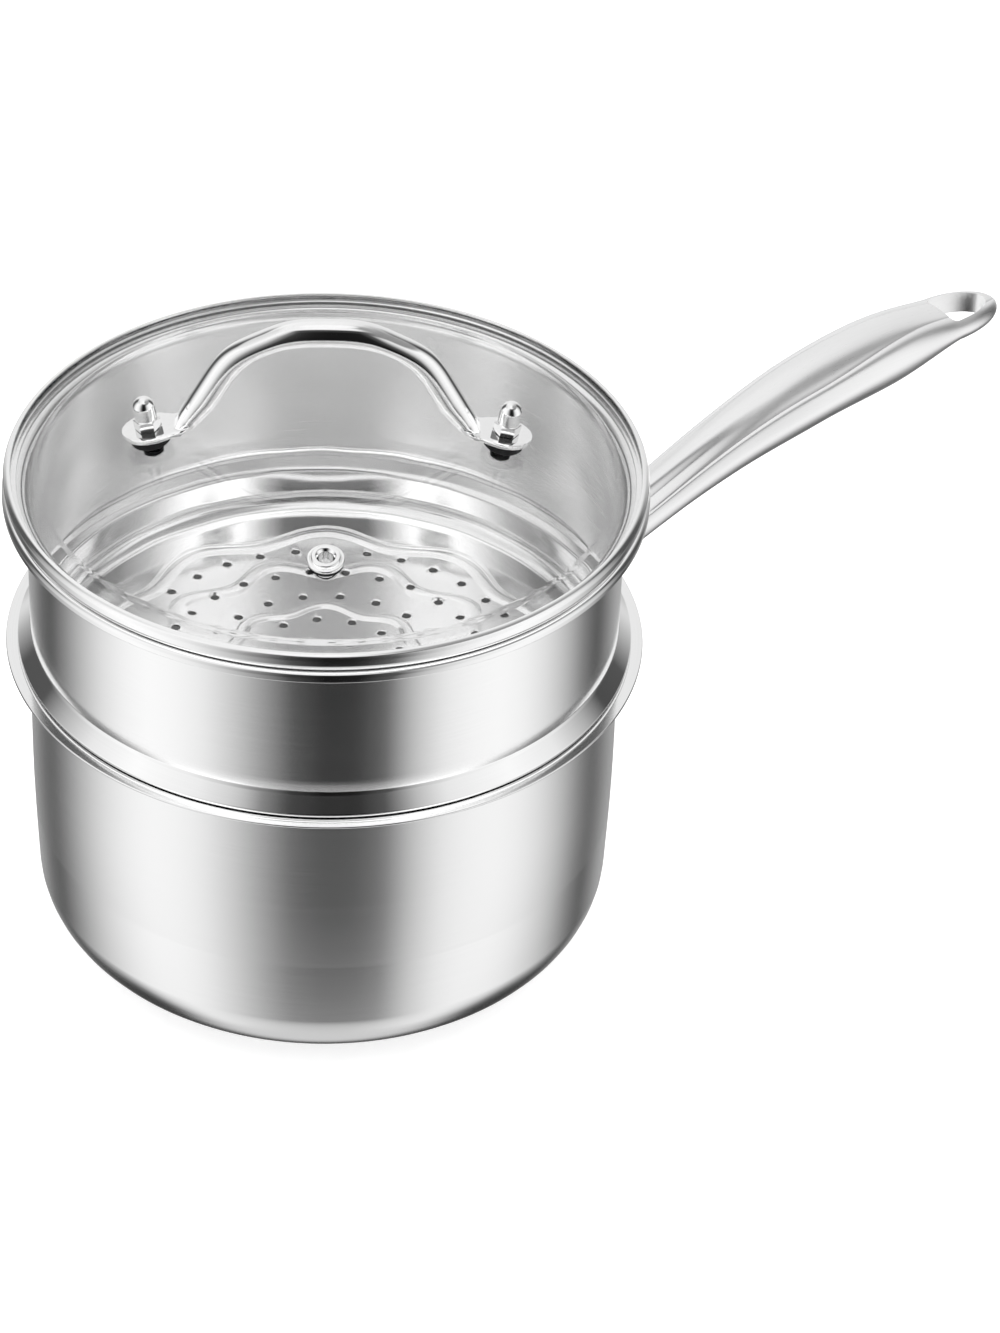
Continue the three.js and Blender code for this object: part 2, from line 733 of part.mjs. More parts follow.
const steamer = new THREE.Group();
steamer.add(piece('steamer_insert', steamerInsert(), brushedSteel));

const lid = new THREE.Group();
lid.rotation.z = degToRad(lidTurn);
lid.add(
  piece('lid_glass', lidGlass(), clearGlass),
  piece('lid_band', lidBand(), polishedSteel),
  piece('lid_handle', lidBar(), polishedSteel),
  lidFastening('right', 0),
  lidFastening('left', Math.PI),
  steamVent(),
);

const object = new THREE.Group();
object.add(saucepan, steamer, lid);

export default object;
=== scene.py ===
"""A saucepan with a steamer insert and a glass lid, modelled piece by piece in the frame of its solids."""

import math
from types import SimpleNamespace

import bmesh
import bpy
from bpy.props import FloatProperty, FloatVectorProperty, PointerProperty
from mathutils import Euler, Matrix, Vector


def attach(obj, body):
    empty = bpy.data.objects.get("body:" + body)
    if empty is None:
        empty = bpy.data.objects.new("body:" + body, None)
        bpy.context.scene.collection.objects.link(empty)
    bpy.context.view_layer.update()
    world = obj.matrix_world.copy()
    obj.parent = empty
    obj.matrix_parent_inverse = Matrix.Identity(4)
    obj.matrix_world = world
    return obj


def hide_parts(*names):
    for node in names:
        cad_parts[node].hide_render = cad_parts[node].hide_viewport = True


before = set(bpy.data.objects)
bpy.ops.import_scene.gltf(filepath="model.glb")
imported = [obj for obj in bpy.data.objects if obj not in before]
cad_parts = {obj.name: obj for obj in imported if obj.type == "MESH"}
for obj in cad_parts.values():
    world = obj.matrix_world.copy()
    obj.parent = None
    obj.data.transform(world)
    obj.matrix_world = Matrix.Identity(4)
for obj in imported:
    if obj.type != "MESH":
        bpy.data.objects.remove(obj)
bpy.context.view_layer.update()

bl_info = {
    "name": "Saucepan with steamer insert",
    "version": (1, 0, 0),
    "blender": (4, 5, 0),
    "location": "View3D > Sidebar > Saucepan",
    "description": "Models a saucepan, its steamer insert and its glass lid, piece by piece",
    "category": "Mesh",
}

MM = 0.001

# How finely the pieces are drawn: steps round a large and a small piece, and round a bend
AROUND = 240
AROUND_SMALL = 64
FILLET_STEP = math.radians(8)
FILLET_LEAST = 4
WELD = 0.001 * MM
# Gap between neighbouring pieces, in millimetres
GAP = 0.3


def hex_colour(code):
    """Turn an sRGB hex value into a linear colour."""
    parts = [int(code[i:i + 2], 16) / 255 for i in (1, 3, 5)]
    return tuple(c / 12.92 if c <= 0.04045 else ((c + 0.055) / 1.055) ** 2.4 for c in parts) + (1.0,)


def length(name, description, millimetres):
    return FloatProperty(
        name=name, description=description, default=millimetres * MM, min=0.0, precision=4, unit="LENGTH"
    )


def colour(name, description, code):
    return FloatVectorProperty(
        name=name, description=description, default=hex_colour(code),
        size=4, min=0.0, max=1.0, subtype="COLOR",
    )


class SaucepanSizes(bpy.types.PropertyGroup):
    """Sizes of the pan's shell, base and handle"""

    wall_radius: length("Wall radius", "Outside radius of the straight wall", 100.7)
    sheet: length("Sheet", "Thickness of the pressed steel", 0.8)
    floor_level: length("Floor level", "Underside of the shell above the table", 5.2)
    rim_level: length("Rim level", "Top of the flared rim above the table", 118.8)
    rim_radius: length("Rim radius", "Outside radius of the flared rim", 108.8)
    corner_radius: length("Corner radius", "Radius of the bend between floor and wall", 23.5)
    lean_level: length("Lean level", "Height below which the wall leans in to its corner", 62.0)
    lean: length("Lean", "How far the wall has leant in at the floor", 2.5)
    lean_bend: length("Lean bend", "Radius of the soft bend into the lean", 900.0)
    rim_bend: length("Rim bend", "Radius of the bend between wall and rim", 4.0)
    base_radius: length("Base radius", "Outside radius of the base cap", 71.0)
    base_bend: length("Base bend", "Radius of the base cap's lower edge", 2.0)
    base_height: length("Base height", "Height of the base cap", 4.9)
    handle_root: length("Handle root", "Distance of the handle's end from the pan's axis", 103.9)
    handle_drop: length("Handle drop", "Height of the rim above the handle's middle line at its end", 14.3)
    rivet_head: length("Rivet head", "Radius of a rivet's head", 4.8)


class SteamerSizes(bpy.types.PropertyGroup):
    """Sizes of the steamer insert"""

    sheet: length("Sheet", "Thickness of the pressed steel", 0.8)
    floor_level: length("Floor level", "Underside of the floor above the table", 102.2)
    wall_radius: length("Wall radius", "Outside radius of the wall", 100.5)
    skirt_radius: length("Skirt radius", "Outside radius of the skirt that enters the pan", 99.1)
    lip_radius: length("Lip radius", "Outside radius of the flared lip", 108.7)
    lip_edge: length("Lip edge", "How far the lip's edge is turned down", 2.4)
    lip_level: length("Lip level", "Underside of the lip above the table", 179.7)
    hole_radius: length("Hole radius", "Radius of a steam hole", 1.55)
    hole_pitch: length("Hole pitch", "Distance between the rings of steam holes", 13.75)
    wave_height: length("Wave height", "Height of the embossed waves", 0.7)


class LidSizes(bpy.types.PropertyGroup):
    """Sizes of the glass lid and its fittings"""

    glass_radius: length("Glass radius", "Outside radius of the glass", 107.1)
    glass_thickness: length("Glass thickness", "Thickness of the glass", 4.4)
    margin_level: length("Margin level", "Underside of the glass's flat margin above the table", 181.9)
    margin_width: length("Margin width", "Width of the glass's flat margin", 9.3)
    dome_rise: length("Dome rise", "Height of the dome above its margin", 15.5)
    band_radius: length("Band radius", "Outside radius of the steel band", 108.2)
    band_foot: length("Band foot", "Underside of the band above the table", 180.8)
    band_top: length("Band top", "Top of the band above the table", 187.4)
    band_sheet: length("Band sheet", "Thickness of the band", 0.8)
    bolt_spacing: length("Bolt spacing", "Distance between the lid handle's bolts", 117.0)
    bar_rise: length("Bar rise", "Height of the lid handle's underside above its feet", 35.1)
    vent_offset: length("Vent offset", "Distance of the steam vent from the lid's axis", 67.3)
    turn: FloatProperty(
        name="Turn",
        description="How far the lid is turned on the pan",
        default=math.radians(-35.7),
        subtype="ANGLE",
    )


class Finishes(bpy.types.PropertyGroup):
    """Colours of the materials"""

    satin_steel: colour("Satin steel", "Brushed stainless steel of pan, insert and handle", "#efefef")
    bright_steel: colour("Bright steel", "Polished stainless steel of band, bar and fittings", "#f2f2f2")
    aluminium: colour("Aluminium", "The base's heat-spreading core", "#c3c5c7")
    silicone: colour("Silicone", "Pads and seals against the glass", "#1b1b1d")
    glass: colour("Glass", "Tint of the lid's glass", "#fdfdfd")
    paper: colour("Paper", "The floor that the pan stands on", "#f7f7f7")


def in_millimetres(group):
    """A group's lengths in millimetres, and its angles as they are."""
    read = {}
    for prop in group.bl_rna.properties:
        if prop.type == "FLOAT":
            value = getattr(group, prop.identifier)
            read[prop.identifier] = value / MM if prop.unit == "LENGTH" else value
    return SimpleNamespace(**read)


def metres(*place):
    """A place in millimetres as a vector in metres."""
    return Vector([value * MM for value in place])


# Selecting, modifying and placing; sizes are in millimetres, matrices in metres

def clear_selection():
    if bpy.context.object and bpy.context.object.mode != "OBJECT":
        bpy.ops.object.mode_set(mode="OBJECT")
    bpy.ops.object.select_all(action="DESELECT")


def choose(*pieces):
    """Select the pieces alone; the first is the active one."""
    clear_selection()
    for piece in pieces:
        piece.select_set(True)
    bpy.context.view_layer.objects.active = pieces[0]


def edit(piece):
    """Open a piece in edit mode, all of it selected."""
    choose(piece)
    bpy.ops.object.mode_set(mode="EDIT")
    bpy.ops.mesh.select_all(action="SELECT")


def name_new(name):
    made = bpy.context.object
    made.name = name
    made.data.name = name
    return made


def modify(piece, kind, **settings):
    """Add a modifier with its settings and apply it."""
    choose(piece)
    modifier = piece.modifiers.new(kind.title(), kind)
    for key, value in settings.items():
        setattr(modifier, key, value)
    bpy.ops.object.modifier_apply(modifier=modifier.name)


def soften(piece, width, segments=3, angle=50):
    """Round the piece's edges that are sharper than an angle."""
    limit = math.radians(angle)
    modify(piece, "BEVEL", width=width * MM, segments=segments, limit_method="ANGLE", angle_limit=limit)


def shade(piece, angle=38):
    """Shade a piece smooth but for its sharp edges; its flats stay flat beside their bends."""
    choose(piece)
    bpy.ops.object.shade_smooth_by_angle(angle=math.radians(angle))
    modify(piece, "WEIGHTED_NORMAL", keep_sharp=True)


def place(piece, matrix):
    """Move a piece modelled round the origin to its place, and leave the place in its mesh."""
    choose(piece)
    piece.matrix_world = matrix
    bpy.ops.object.transform_apply(location=True, rotation=True, scale=True)


def combine(piece, tool, operation):
    """Cut a tool from a piece, or add or keep what they share, and remove the tool."""
    modify(piece, "BOOLEAN", operation=operation, solver="EXACT", object=tool)
    bpy.data.objects.remove(tool)


def copy_of(piece, name):
    choose(piece)
    bpy.ops.object.duplicate(linked=False)
    return name_new(name)


def dress(piece, body, node, slot):
    """Give a finished piece the material of its slot and its body, and hide the solid that it stands for."""
    piece.data.materials.clear()
    piece.data.materials.append(finish(slot))
    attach(piece, body)
    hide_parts(node)


# Profiles and skins

def filleted(corners, closed=False):
    """Points of a line through (x, z, bend) corners, each corner rounded; the points are in metres."""
    points = []
    for i, (x, z, radius) in enumerate(corners):
        here = Vector((x, z))
        if radius == 0 or (not closed and i in (0, len(corners) - 1)):
            points.append(here)
            continue
        into = (here - Vector(corners[i - 1][:2])).normalized()
        out_of = (Vector(corners[(i + 1) % len(corners)][:2]) - here).normalized()
        turn = math.atan2(into.x * out_of.y - into.y * out_of.x, into.dot(out_of))
        start = here - into * radius * math.tan(abs(turn) / 2)
        centre = start + Vector((-into.y, into.x)) * math.copysign(radius, turn)
        steps = max(FILLET_LEAST, math.ceil(abs(turn) / FILLET_STEP))
        for step in range(steps + 1):
            points.append(centre + Matrix.Rotation(turn * step / steps, 2) @ (start - centre))
    if closed:
        points.append(points[0])
    return [(p.x * MM, p.y * MM) for p in points]


def turned(name, corners, steps=AROUND_SMALL, closed=False):
    """Draw a profile through (radius, level, bend) corners and spin it round the Z axis."""
    profile = filleted(corners, closed)
    clear_selection()
    bpy.ops.mesh.primitive_plane_add(size=MM, location=(0, 0, 0))
    made = name_new(name)
    edit(made)
    bpy.ops.mesh.merge(type="CENTER")
    bpy.ops.transform.translate(value=(profile[0][0], 0, profile[0][1]))
    for (x0, z0), (x1, z1) in zip(profile, profile[1:]):
        bpy.ops.mesh.extrude_vertices_move(TRANSFORM_OT_translate={"value": (x1 - x0, 0, z1 - z0)})
    bpy.ops.mesh.select_all(action="SELECT")
    bpy.ops.mesh.spin(steps=steps, angle=2 * math.pi, center=(0, 0, 0), axis=(0, 0, 1))
    bpy.ops.mesh.select_all(action="SELECT")
    bpy.ops.mesh.remove_doubles(threshold=WELD)
    bpy.ops.mesh.normals_make_consistent(inside=False)
    bpy.ops.object.mode_set(mode="OBJECT")
    return made


def drill(name, radius, low, high):
    """A plain round bar that cuts a bore."""
    return turned(name, [(0, low, 0), (radius, low, 0), (radius, high, 0), (0, high, 0)])


def washer(name, bore, radius, low, high, edge):
    """A ring with rounded edges."""
    return turned(name, [
        (bore, low, edge / 2), (radius, low, edge), (radius, high, edge), (bore, high, edge / 2),
    ], closed=True)


def pressed(name, corners):
    """Turn the outside of a pressed sheet, whose first stretch faces down."""
    made = turned(name, corners, AROUND)
    (x0, z0), (x1, z1) = filleted(corners)[:2]
    first = Vector(((x0 + x1) / 2, 0, (z0 + z1) / 2))
    face = min(made.data.polygons, key=lambda f: (Vector((f.center.xy.length, 0, f.center.z)) - first).length)
    if face.normal.z > 0:
        edit(made)
        bpy.ops.mesh.flip_normals()
        bpy.ops.object.mode_set(mode="OBJECT")
    return made


def thicken(piece, sheet, edge):
    """Give a pressed sheet its thickness, inwards, and round its free edges."""
    modify(piece, "SOLIDIFY", thickness=sheet * MM, offset=-1, use_even_offset=True, use_quality_normals=True)
    soften(piece, edge)
    shade(piece)


def swept(name, rings):
    """Lay a disc on the first ring and extrude it from ring to ring; the rings are in metres."""
    clear_selection()
    bpy.ops.mesh.primitive_circle_add(vertices=len(rings[0]), radius=1, fill_type="NGON")
    made = name_new(name)
    edit(made)
    mesh = bmesh.from_edit_mesh(made.data)
    order = {}
    for i, vertex in enumerate(mesh.verts):
        vertex.co = rings[0][i]
        order[tuple(vertex.co)] = i
    for ring in rings[1:]:
        bmesh.update_edit_mesh(made.data)
        bpy.ops.mesh.extrude_region()
        mesh = bmesh.from_edit_mesh(made.data)
        moved = {}
        for vertex in mesh.verts:
            if vertex.select:
                i = order[tuple(vertex.co)]
                vertex.co = ring[i]
                moved[tuple(vertex.co)] = i
        order = moved
    bmesh.update_edit_mesh(made.data)
    bpy.ops.mesh.select_all(action="SELECT")
    bpy.ops.mesh.normals_make_consistent(inside=False)
    bpy.ops.object.mode_set(mode="OBJECT")
    return made


def prism(name, outline, low, high):
    """Raise a flat outline along Z."""
    return swept(name, [[metres(x, y, z) for x, y in outline] for z in (low, high)])


def smoothstep(value, low, high):
    share = min(max((value - low) / (high - low), 0.0), 1.0)
    return share * share * (3 - 2 * share)


def through(knots, at):
    """A smooth curve through (place, value, ...) knots, read at a place."""
    last = len(knots) - 1
    i = max(k for k in range(last) if k == 0 or knots[k][0] <= at)
    (a, *p), (b, *q) = knots[i], knots[i + 1]
    before, after = knots[max(i - 1, 0)], knots[min(i + 2, last)]
    t = (at - a) / (b - a)
    values = []
    for k, (u, v) in enumerate(zip(p, q), 1):
        slope_in = (v - before[k]) / (b - before[0]) * (b - a)
        slope_out = (after[k] - u) / (after[0] - a) * (b - a)
        values.append(
            (2 * t ** 3 - 3 * t ** 2 + 1) * u
            + (t ** 3 - 2 * t ** 2 + t) * slope_in
            + (3 * t ** 2 - 2 * t ** 3) * v
            + (t ** 3 - t ** 2) * slope_out
        )
    return values


# Materials: each one reads its spot on the piece and gives what its shader gets

# Where most of a noise's values lie
NOISE_SPAN = {1: 0.3, 2: 0.7}
# How much of a brushed metal's unevenness is lines; the rest is clouds
LINE_SHARE = 0.8

# Width of a brushed line, and the height over which the steel's roughness is listed, in millimetres
BRUSH_LINE = 0.25
HEIGHT_SPAN = 200.0
# Roughness by height: walls are brushed, rims, beads and the insert's floor are bright
PAN_OUTSIDE = ((0, 0.24), (111, 0.24), (115, 0.1), (200, 0.1))
PAN_INSIDE = ((0, 0.2), (200, 0.2))
INSERT_OUTSIDE = ((0, 0.1), (125.5, 0.08), (128.5, 0.18), (174, 0.18), (177, 0.08), (200, 0.08))
INSERT_INSIDE = ((0, 0.09), (117, 0.09), (125, 0.26), (174, 0.26), (178, 0.1), (200, 0.1))


def add(tree, kind, settings, inputs):
    """Add one node, its settings and its inputs, each a value or another node's output; give its outputs."""
    made = tree.nodes.new("ShaderNode" + kind)
    for key, value in settings.items():
        if key != "stops":
            setattr(made, key, value)
            continue
        stops = made.color_ramp.elements
        while len(stops) < len(value):
            stops.new(1.0)
        for stop, (position, grey) in zip(stops, value):
            stop.position = position
            stop.color = (grey, grey, grey, 1.0)
    for key, value in inputs.items():
        if isinstance(value, bpy.types.NodeSocket):
            tree.links.new(value, made.inputs[key])
        else:
            made.inputs[key].default_value = value
    return made.outputs


def cells(*sizes):
    """How many cells of a pattern, of a size in millimetres, lie in a metre: each way, or the same in all."""
    counts = tuple(1 / (size * MM) for size in sizes)
    return counts if len(counts) > 1 else counts[0]


def brushed_surface(tree, tint, lines, clouds, roughness, swing, depth):
    """Lines of a brushed metal: they vary its colour and roughness a little and cut shallow grooves."""
    drawn = add(tree, "Math", {"operation": "MULTIPLY"}, {0: lines, 1: LINE_SHARE})[0]
    both = add(tree, "Math", {"operation": "MULTIPLY_ADD"}, {0: clouds, 1: 1 - LINE_SHARE, 2: drawn})[0]
    spread = add(tree, "MapRange", {}, {0: both, **NOISE_SPAN, 3: -swing, 4: swing})[0]
    rough = add(tree, "Math", {"operation": "ADD"}, {0: spread, 1: roughness})[0]
    value = add(tree, "MapRange", {}, {0: both, **NOISE_SPAN, 3: 0.97, 4: 1.01})[0]
    shine = add(tree, "HueSaturation", {}, {"Value": value, "Color": tint})[0]
    groove = add(tree, "Bump", {}, {"Strength": 0.5, "Distance": depth * MM, "Height": lines})[0]
    return {"Base Color": shine, "Roughness": rough, "Normal": groove, "Metallic": 1.0}


def round_brushed_steel(tree, spot, tint, outside, inside, inside_radius, depth):
    """Stainless steel, brushed with the piece turning: lines run round it, so its highlights spread up and
    down the wall. Its bends are polished bright. Roughness is listed by height, out and in."""
    height = add(tree, "SeparateXYZ", {}, {0: spot})["Z"]
    flat = add(tree, "VectorMath", {"operation": "MULTIPLY"}, {0: spot, 1: (1, 1, 0)})[0]
    reach = add(tree, "VectorMath", {"operation": "LENGTH"}, {0: flat})["Value"]
    facing = add(tree, "VectorMath", {"operation": "NORMALIZE"}, {0: flat})[0]
    outward = add(tree, "Math", {"operation": "DIVIDE"}, {0: reach, 1: BRUSH_LINE * MM})[0]
    upward = add(tree, "Math", {"operation": "DIVIDE"}, {0: height, 1: BRUSH_LINE * MM})[0]
    # A line is about a sixth of a turn long and too fine to show at its real width, so it is drawn coarser
    along = add(tree, "VectorMath", {"operation": "SCALE"}, {0: facing, "Scale": 2.2})[0]
    rise = add(tree, "CombineXYZ", {}, {"Z": outward})[0]
    ring = add(tree, "VectorMath", {"operation": "ADD"}, {0: along, 1: rise})[0]
    lines = add(
        tree, "TexNoise", {"noise_dimensions": "4D"},
        {"Vector": ring, "W": upward, "Scale": 1.0, "Detail": 3.0, "Roughness": 0.62},
    )[0]
    # Handling leaves faint clouds about 40 mm across
    clouds = add(tree, "TexNoise", {}, {"Vector": spot, "Scale": cells(40), "Detail": 2.0})[0]
    level = add(tree, "MapRange", {}, {0: height, 1: 0.0, 2: HEIGHT_SPAN * MM})[0]
    sides = []
    for listed in (outside, inside):
        stops = [(at / HEIGHT_SPAN, rough) for at, rough in listed]
        sides.append(add(tree, "ValToRGB", {"stops": stops}, {"Fac": level})[0])
    within = add(tree, "Math", {"operation": "LESS_THAN"}, {0: reach, 1: inside_radius * MM})[0]
    roughness = add(tree, "Mix", {"data_type": "RGBA"}, {"Factor": within, 6: sides[0], 7: sides[1]})[2]
    surface = brushed_surface(tree, tint, lines, clouds, roughness, 0.02, depth)
    tangent = add(tree, "Tangent", {"direction_type": "RADIAL", "axis": "Z"}, {})[0]
    return surface | {"Anisotropic": 0.6, "Anisotropic Rotation": 0.25, "Tangent": tangent}


def streaked_metal(tree, spot, tint, streak, lean, detail, cloud, roughness, swing, depth):
    """A metal with straight streaks: a streak's size each way, how it leans, and the size of the clouds."""
    run = add(tree, "Mapping", {}, {"Vector": spot, "Rotation": lean, "Scale": cells(*streak)})[0]
    lines = add(tree, "TexNoise", {}, {"Vector": run, "Scale": 1.0, "Detail": detail})[0]
    clouds = add(tree, "TexNoise", {}, {"Vector": spot, "Scale": cells(cloud), "Detail": 2.0})[0]
    return brushed_surface(tree, tint, lines, clouds, roughness, swing, depth)


def long_brushed_steel(tree, spot, tint):
    """Stainless steel, brushed along the handle: soft satin with fine streaks from root to tip."""
    surface = streaked_metal(tree, spot, tint, (30.3, 0.5, 0.5), (0, 0, 0), 3.0, 25, 0.3, 0.03, 0.003)
    tangent = add(tree, "Tangent", {"direction_type": "RADIAL", "axis": "X"}, {})[0]
    return surface | {"Anisotropic": 0.45, "Tangent": tangent}


def polished_steel(tree, spot, tint, roughness):
    """Stainless steel, buffed bright: crisp reflections with the faint wipe marks of use."""
    return streaked_metal(
        tree, spot, tint, (6.25, 0.4, 0.4), (0.5, 0.3, 0.9), 2.0, 10, roughness, 0.02, 0.0005
    )


def stamped_aluminium(tree, spot, tint):
    """Aluminium, stamped from rolled sheet: dull, with fine rolling lines."""
    return streaked_metal(tree, spot, tint, (50, 0.833, 0.833), (0, 0, 0), 2.0, 33.3, 0.45, 0.06, 0.01)


def pressed_glass(tree, spot, tint):
    """Tempered soda-lime glass, pressed: clear, with a faint ripple in what it reflects and shows."""
    # Ripples about 30 mm across; a film of handling that dulls the gloss by a trace
    ripple = add(tree, "TexNoise", {}, {"Vector": spot, "Scale": cells(30.3), "Detail": 1.0})[0]
    film = add(tree, "TexNoise", {}, {"Vector": spot, "Scale": cells(16.67), "Detail": 4.0})[0]
    dull = add(tree, "MapRange", {}, {0: film, 1: 0.45, 2: 0.75, 3: 0.0, 4: 0.012})[0]
    wave = add(tree, "Bump", {}, {"Strength": 0.25, "Distance": 0.4 * MM, "Height": ripple})[0]
    return {"Base Color": tint, "Roughness": dull, "Normal": wave, "Transmission Weight": 1.0, "IOR": 1.5}


def moulded_silicone(tree, spot, tint):
    """Silicone rubber, moulded: near black and dull, with a fine grain that catches dust."""
    grain = add(tree, "TexNoise", {}, {"Vector": spot, "Scale": cells(0.303), "Detail": 2.0})[0]
    dust = add(tree, "TexNoise", {}, {"Vector": spot, "Scale": cells(3.33), "Detail": 3.0})[0]
    value = add(tree, "MapRange", {}, {0: dust, 1: 0.35, 2: 0.7, 3: 0.8, 4: 1.5})[0]
    shine = add(tree, "HueSaturation", {}, {"Value": value, "Color": tint})[0]
    rough = add(tree, "MapRange", {}, {0: grain, **NOISE_SPAN, 3: 0.45, 4: 0.65})[0]
    bump = add(tree, "Bump", {}, {"Strength": 0.4, "Distance": 0.03 * MM, "Height": grain})[0]
    return {"Base Color": shine, "Roughness": rough, "Normal": bump, "IOR": 1.41}


def matt_paper(tree, spot, tint):
    """Seamless paper: matt and pale, with a trace of fibre.
    It is lit from behind, which leaves only a trace of shadow."""
    fibre = add(tree, "TexNoise", {}, {"Vector": spot, "Scale": cells(1), "Detail": 3.0})[0]
    value = add(tree, "MapRange", {}, {0: fibre, **NOISE_SPAN, 3: 0.995, 4: 1.0})[0]
    shine = add(tree, "HueSaturation", {}, {"Value": value, "Color": tint})[0]
    glow = {"Emission Color": tint, "Emission Strength": 0.45}
    return {"Base Color": shine, "Roughness": 0.9, "Specular IOR Level": 0.1} | glow


# The finish of each slot: the material's name, what makes it, its colour and its settings
FINISHES = {
    "pan_steel": (
        "pan_steel_round_brushed", round_brushed_steel, "satin_steel", (PAN_OUTSIDE, PAN_INSIDE, 100.2, 0.002)
    ),
    "insert_steel": (
        "insert_steel_round_brushed", round_brushed_steel, "satin_steel",
        (INSERT_OUTSIDE, INSERT_INSIDE, 100.0, 0.0015),
    ),
    "handle_steel": ("handle_steel_long_brushed", long_brushed_steel, "satin_steel", ()),
    "band_steel": ("band_steel_rolled_bright", polished_steel, "bright_steel", (0.13,)),
    "polished_steel": ("fitting_steel_buffed", polished_steel, "bright_steel", (0.06,)),
    "core_aluminium": ("core_aluminium_stamped", stamped_aluminium, "aluminium", ()),
    "clear_glass": ("lid_glass_pressed", pressed_glass, "glass", ()),
    "dark_silicone": ("pad_silicone_moulded", moulded_silicone, "silicone", ()),
    "stage_paper": ("stage_paper_matt", matt_paper, "paper", ()),
}


def finish(slot):
    """The material of one slot, made when it is first asked for."""
    name, maker, tint, settings = FINISHES[slot]
    kept = bpy.data.materials.get(name)
    if kept:
        return kept
    made = bpy.data.materials.new(name)
    made.use_nodes = True
    tree = made.node_tree
    tree.nodes.clear()
    spot = add(tree, "TexCoord", {}, {})["Object"]
    surface = maker(tree, spot, getattr(bpy.context.scene.saucepan_finishes, tint), *settings)
    shader = add(tree, "BsdfPrincipled", {}, surface)
    add(tree, "OutputMaterial", {}, {"Surface": shader["BSDF"]})
    return made


class Piece:
    """What the operators share"""

    bl_options = {"REGISTER", "UNDO"}


# Saucepan

class SAUCEPAN_OT_shell(Piece, bpy.types.Operator):
    """Press the pan's shell: floor, round corner, straight wall and flared rim"""

    bl_idname = "saucepan.shell"
    bl_label = "Pan shell"

    def execute(self, context):
        pan = in_millimetres(context.scene.saucepan_sizes)
        under_rim = pan.rim_level - pan.sheet
        shell = pressed("pan_shell_pressed", [
            (0, pan.floor_level, 0),
            (pan.wall_radius - pan.lean, pan.floor_level, pan.corner_radius),
            (pan.wall_radius, pan.lean_level, pan.lean_bend),
            (pan.wall_radius, under_rim, pan.rim_bend),
            (pan.rim_radius, under_rim, 0),
        ])
        thicken(shell, pan.sheet, edge=0.36)
        dress(shell, "saucepan", "saucepan_shell", "pan_steel")
        return {"FINISHED"}


class SAUCEPAN_OT_base(Piece, bpy.types.Operator):
    """Press the base cap and finish the aluminium core that it encloses"""

    bl_idname = "saucepan.base"
    bl_label = "Pan base"

    def execute(self, context):
        pan = in_millimetres(context.scene.saucepan_sizes)
        cap = pressed("base_cap_pressed", [
            (0, 0, 0), (pan.base_radius, 0, pan.base_bend), (pan.base_radius, pan.base_height, 0),
        ])
        thicken(cap, pan.sheet, edge=0.2)
        dress(cap, "saucepan", "base_cap", "pan_steel")
        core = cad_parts["base_core"]
        core.data.materials.clear()
        core.data.materials.append(finish("core_aluminium"))
        return {"FINISHED"}


# Handle stations in millimetres: distance from the root, half width, half thickness
HANDLE_STATIONS = (
    (0, 9.6, 8.3), (36, 10.2, 8.4), (71, 12.0, 9.4), (106, 14.4, 10.3), (141, 14.9, 8.6), (171, 12.6, 3.9),
)
HANDLE_RINGS = 57
# Its middle line: a straight rise from the root, then an arc
HANDLE_TILT = math.radians(21.5)
HANDLE_STRAIGHT = 45
HANDLE_ARC = 340
# Its round tip past the last station: length, how full its thickness stays, and the turns of its sections
HANDLE_TIP = 24.3
TIP_FULLNESS = 0.6
TIP_TURNS = (8, 16, 24, 32, 40, 48, 56, 63, 70, 76, 81, 85, 88)
# Half of the handle's section, from the crown to the underside, as shares of half width and half thickness:
# at the root a narrow crown and a shelf between two creases, on the grip one crease, at the tip a flat rim
ROOT_SECTION = (
    (0, 1), (0.2, 0.97), (0.32, 0.84), (0.38, 0.66), (0.42, 0.54), (0.46, 0.51), (0.62, 0.44), (0.78, 0.36),
    (0.83, 0.31), (0.87, 0.325), (0.93, 0.28), (0.98, 0.1), (1, -0.1), (0.985, -0.35), (0.94, -0.6),
    (0.82, -0.82), (0.55, -0.95), (0, -1),
)
GRIP_SECTION = (
    (0, 1), (0.15, 0.99), (0.28, 0.955), (0.38, 0.905), (0.46, 0.845), (0.53, 0.77), (0.6, 0.68),
    (0.66, 0.585), (0.72, 0.5), (0.78, 0.51), (0.87, 0.44), (0.955, 0.2), (1, -0.03), (0.975, -0.32),
    (0.89, -0.64), (0.72, -0.95), (0.47, -1.2), (0, -1.35),
)
TIP_SECTION = (
    (0, 1), (0.1, 0.995), (0.18, 0.985), (0.25, 0.97), (0.3, 0.955), (0.35, 0.935), (0.39, 0.91),
    (0.42, 0.885), (0.45, 0.86), (0.52, 0.88), (0.68, 0.8), (0.86, 0.5), (0.97, 0.1), (0.965, -0.34),
    (0.88, -0.86), (0.7, -1.35), (0.45, -1.72), (0, -1.95),
)
# Where along the handle the root's section becomes the grip's, and the grip's the tip's
TO_GRIP = (15, 95)
TO_TIP = (105, 168)
# The hanging hole: a half oval whose straight side lies towards the pan
HOLE_INSET = 1.5
HOLE_LENGTH = 20.8
HOLE_HALF_WIDTH = 8.6
HOLE_FULLNESS = 0.9
HOLE_CORNER = 3.5
HOLE_STEPS = 40
HOLE_REACH = 20


def handle_level(distance):
    """Height of the handle's middle line above its root."""
    straight = min(distance, HANDLE_STRAIGHT)
    bent = math.sin(HANDLE_TILT) - (distance - straight) / HANDLE_ARC
    rise = math.sqrt(1 - bent * bent) - math.cos(HANDLE_TILT)
    return straight * math.tan(HANDLE_TILT) + HANDLE_ARC * rise


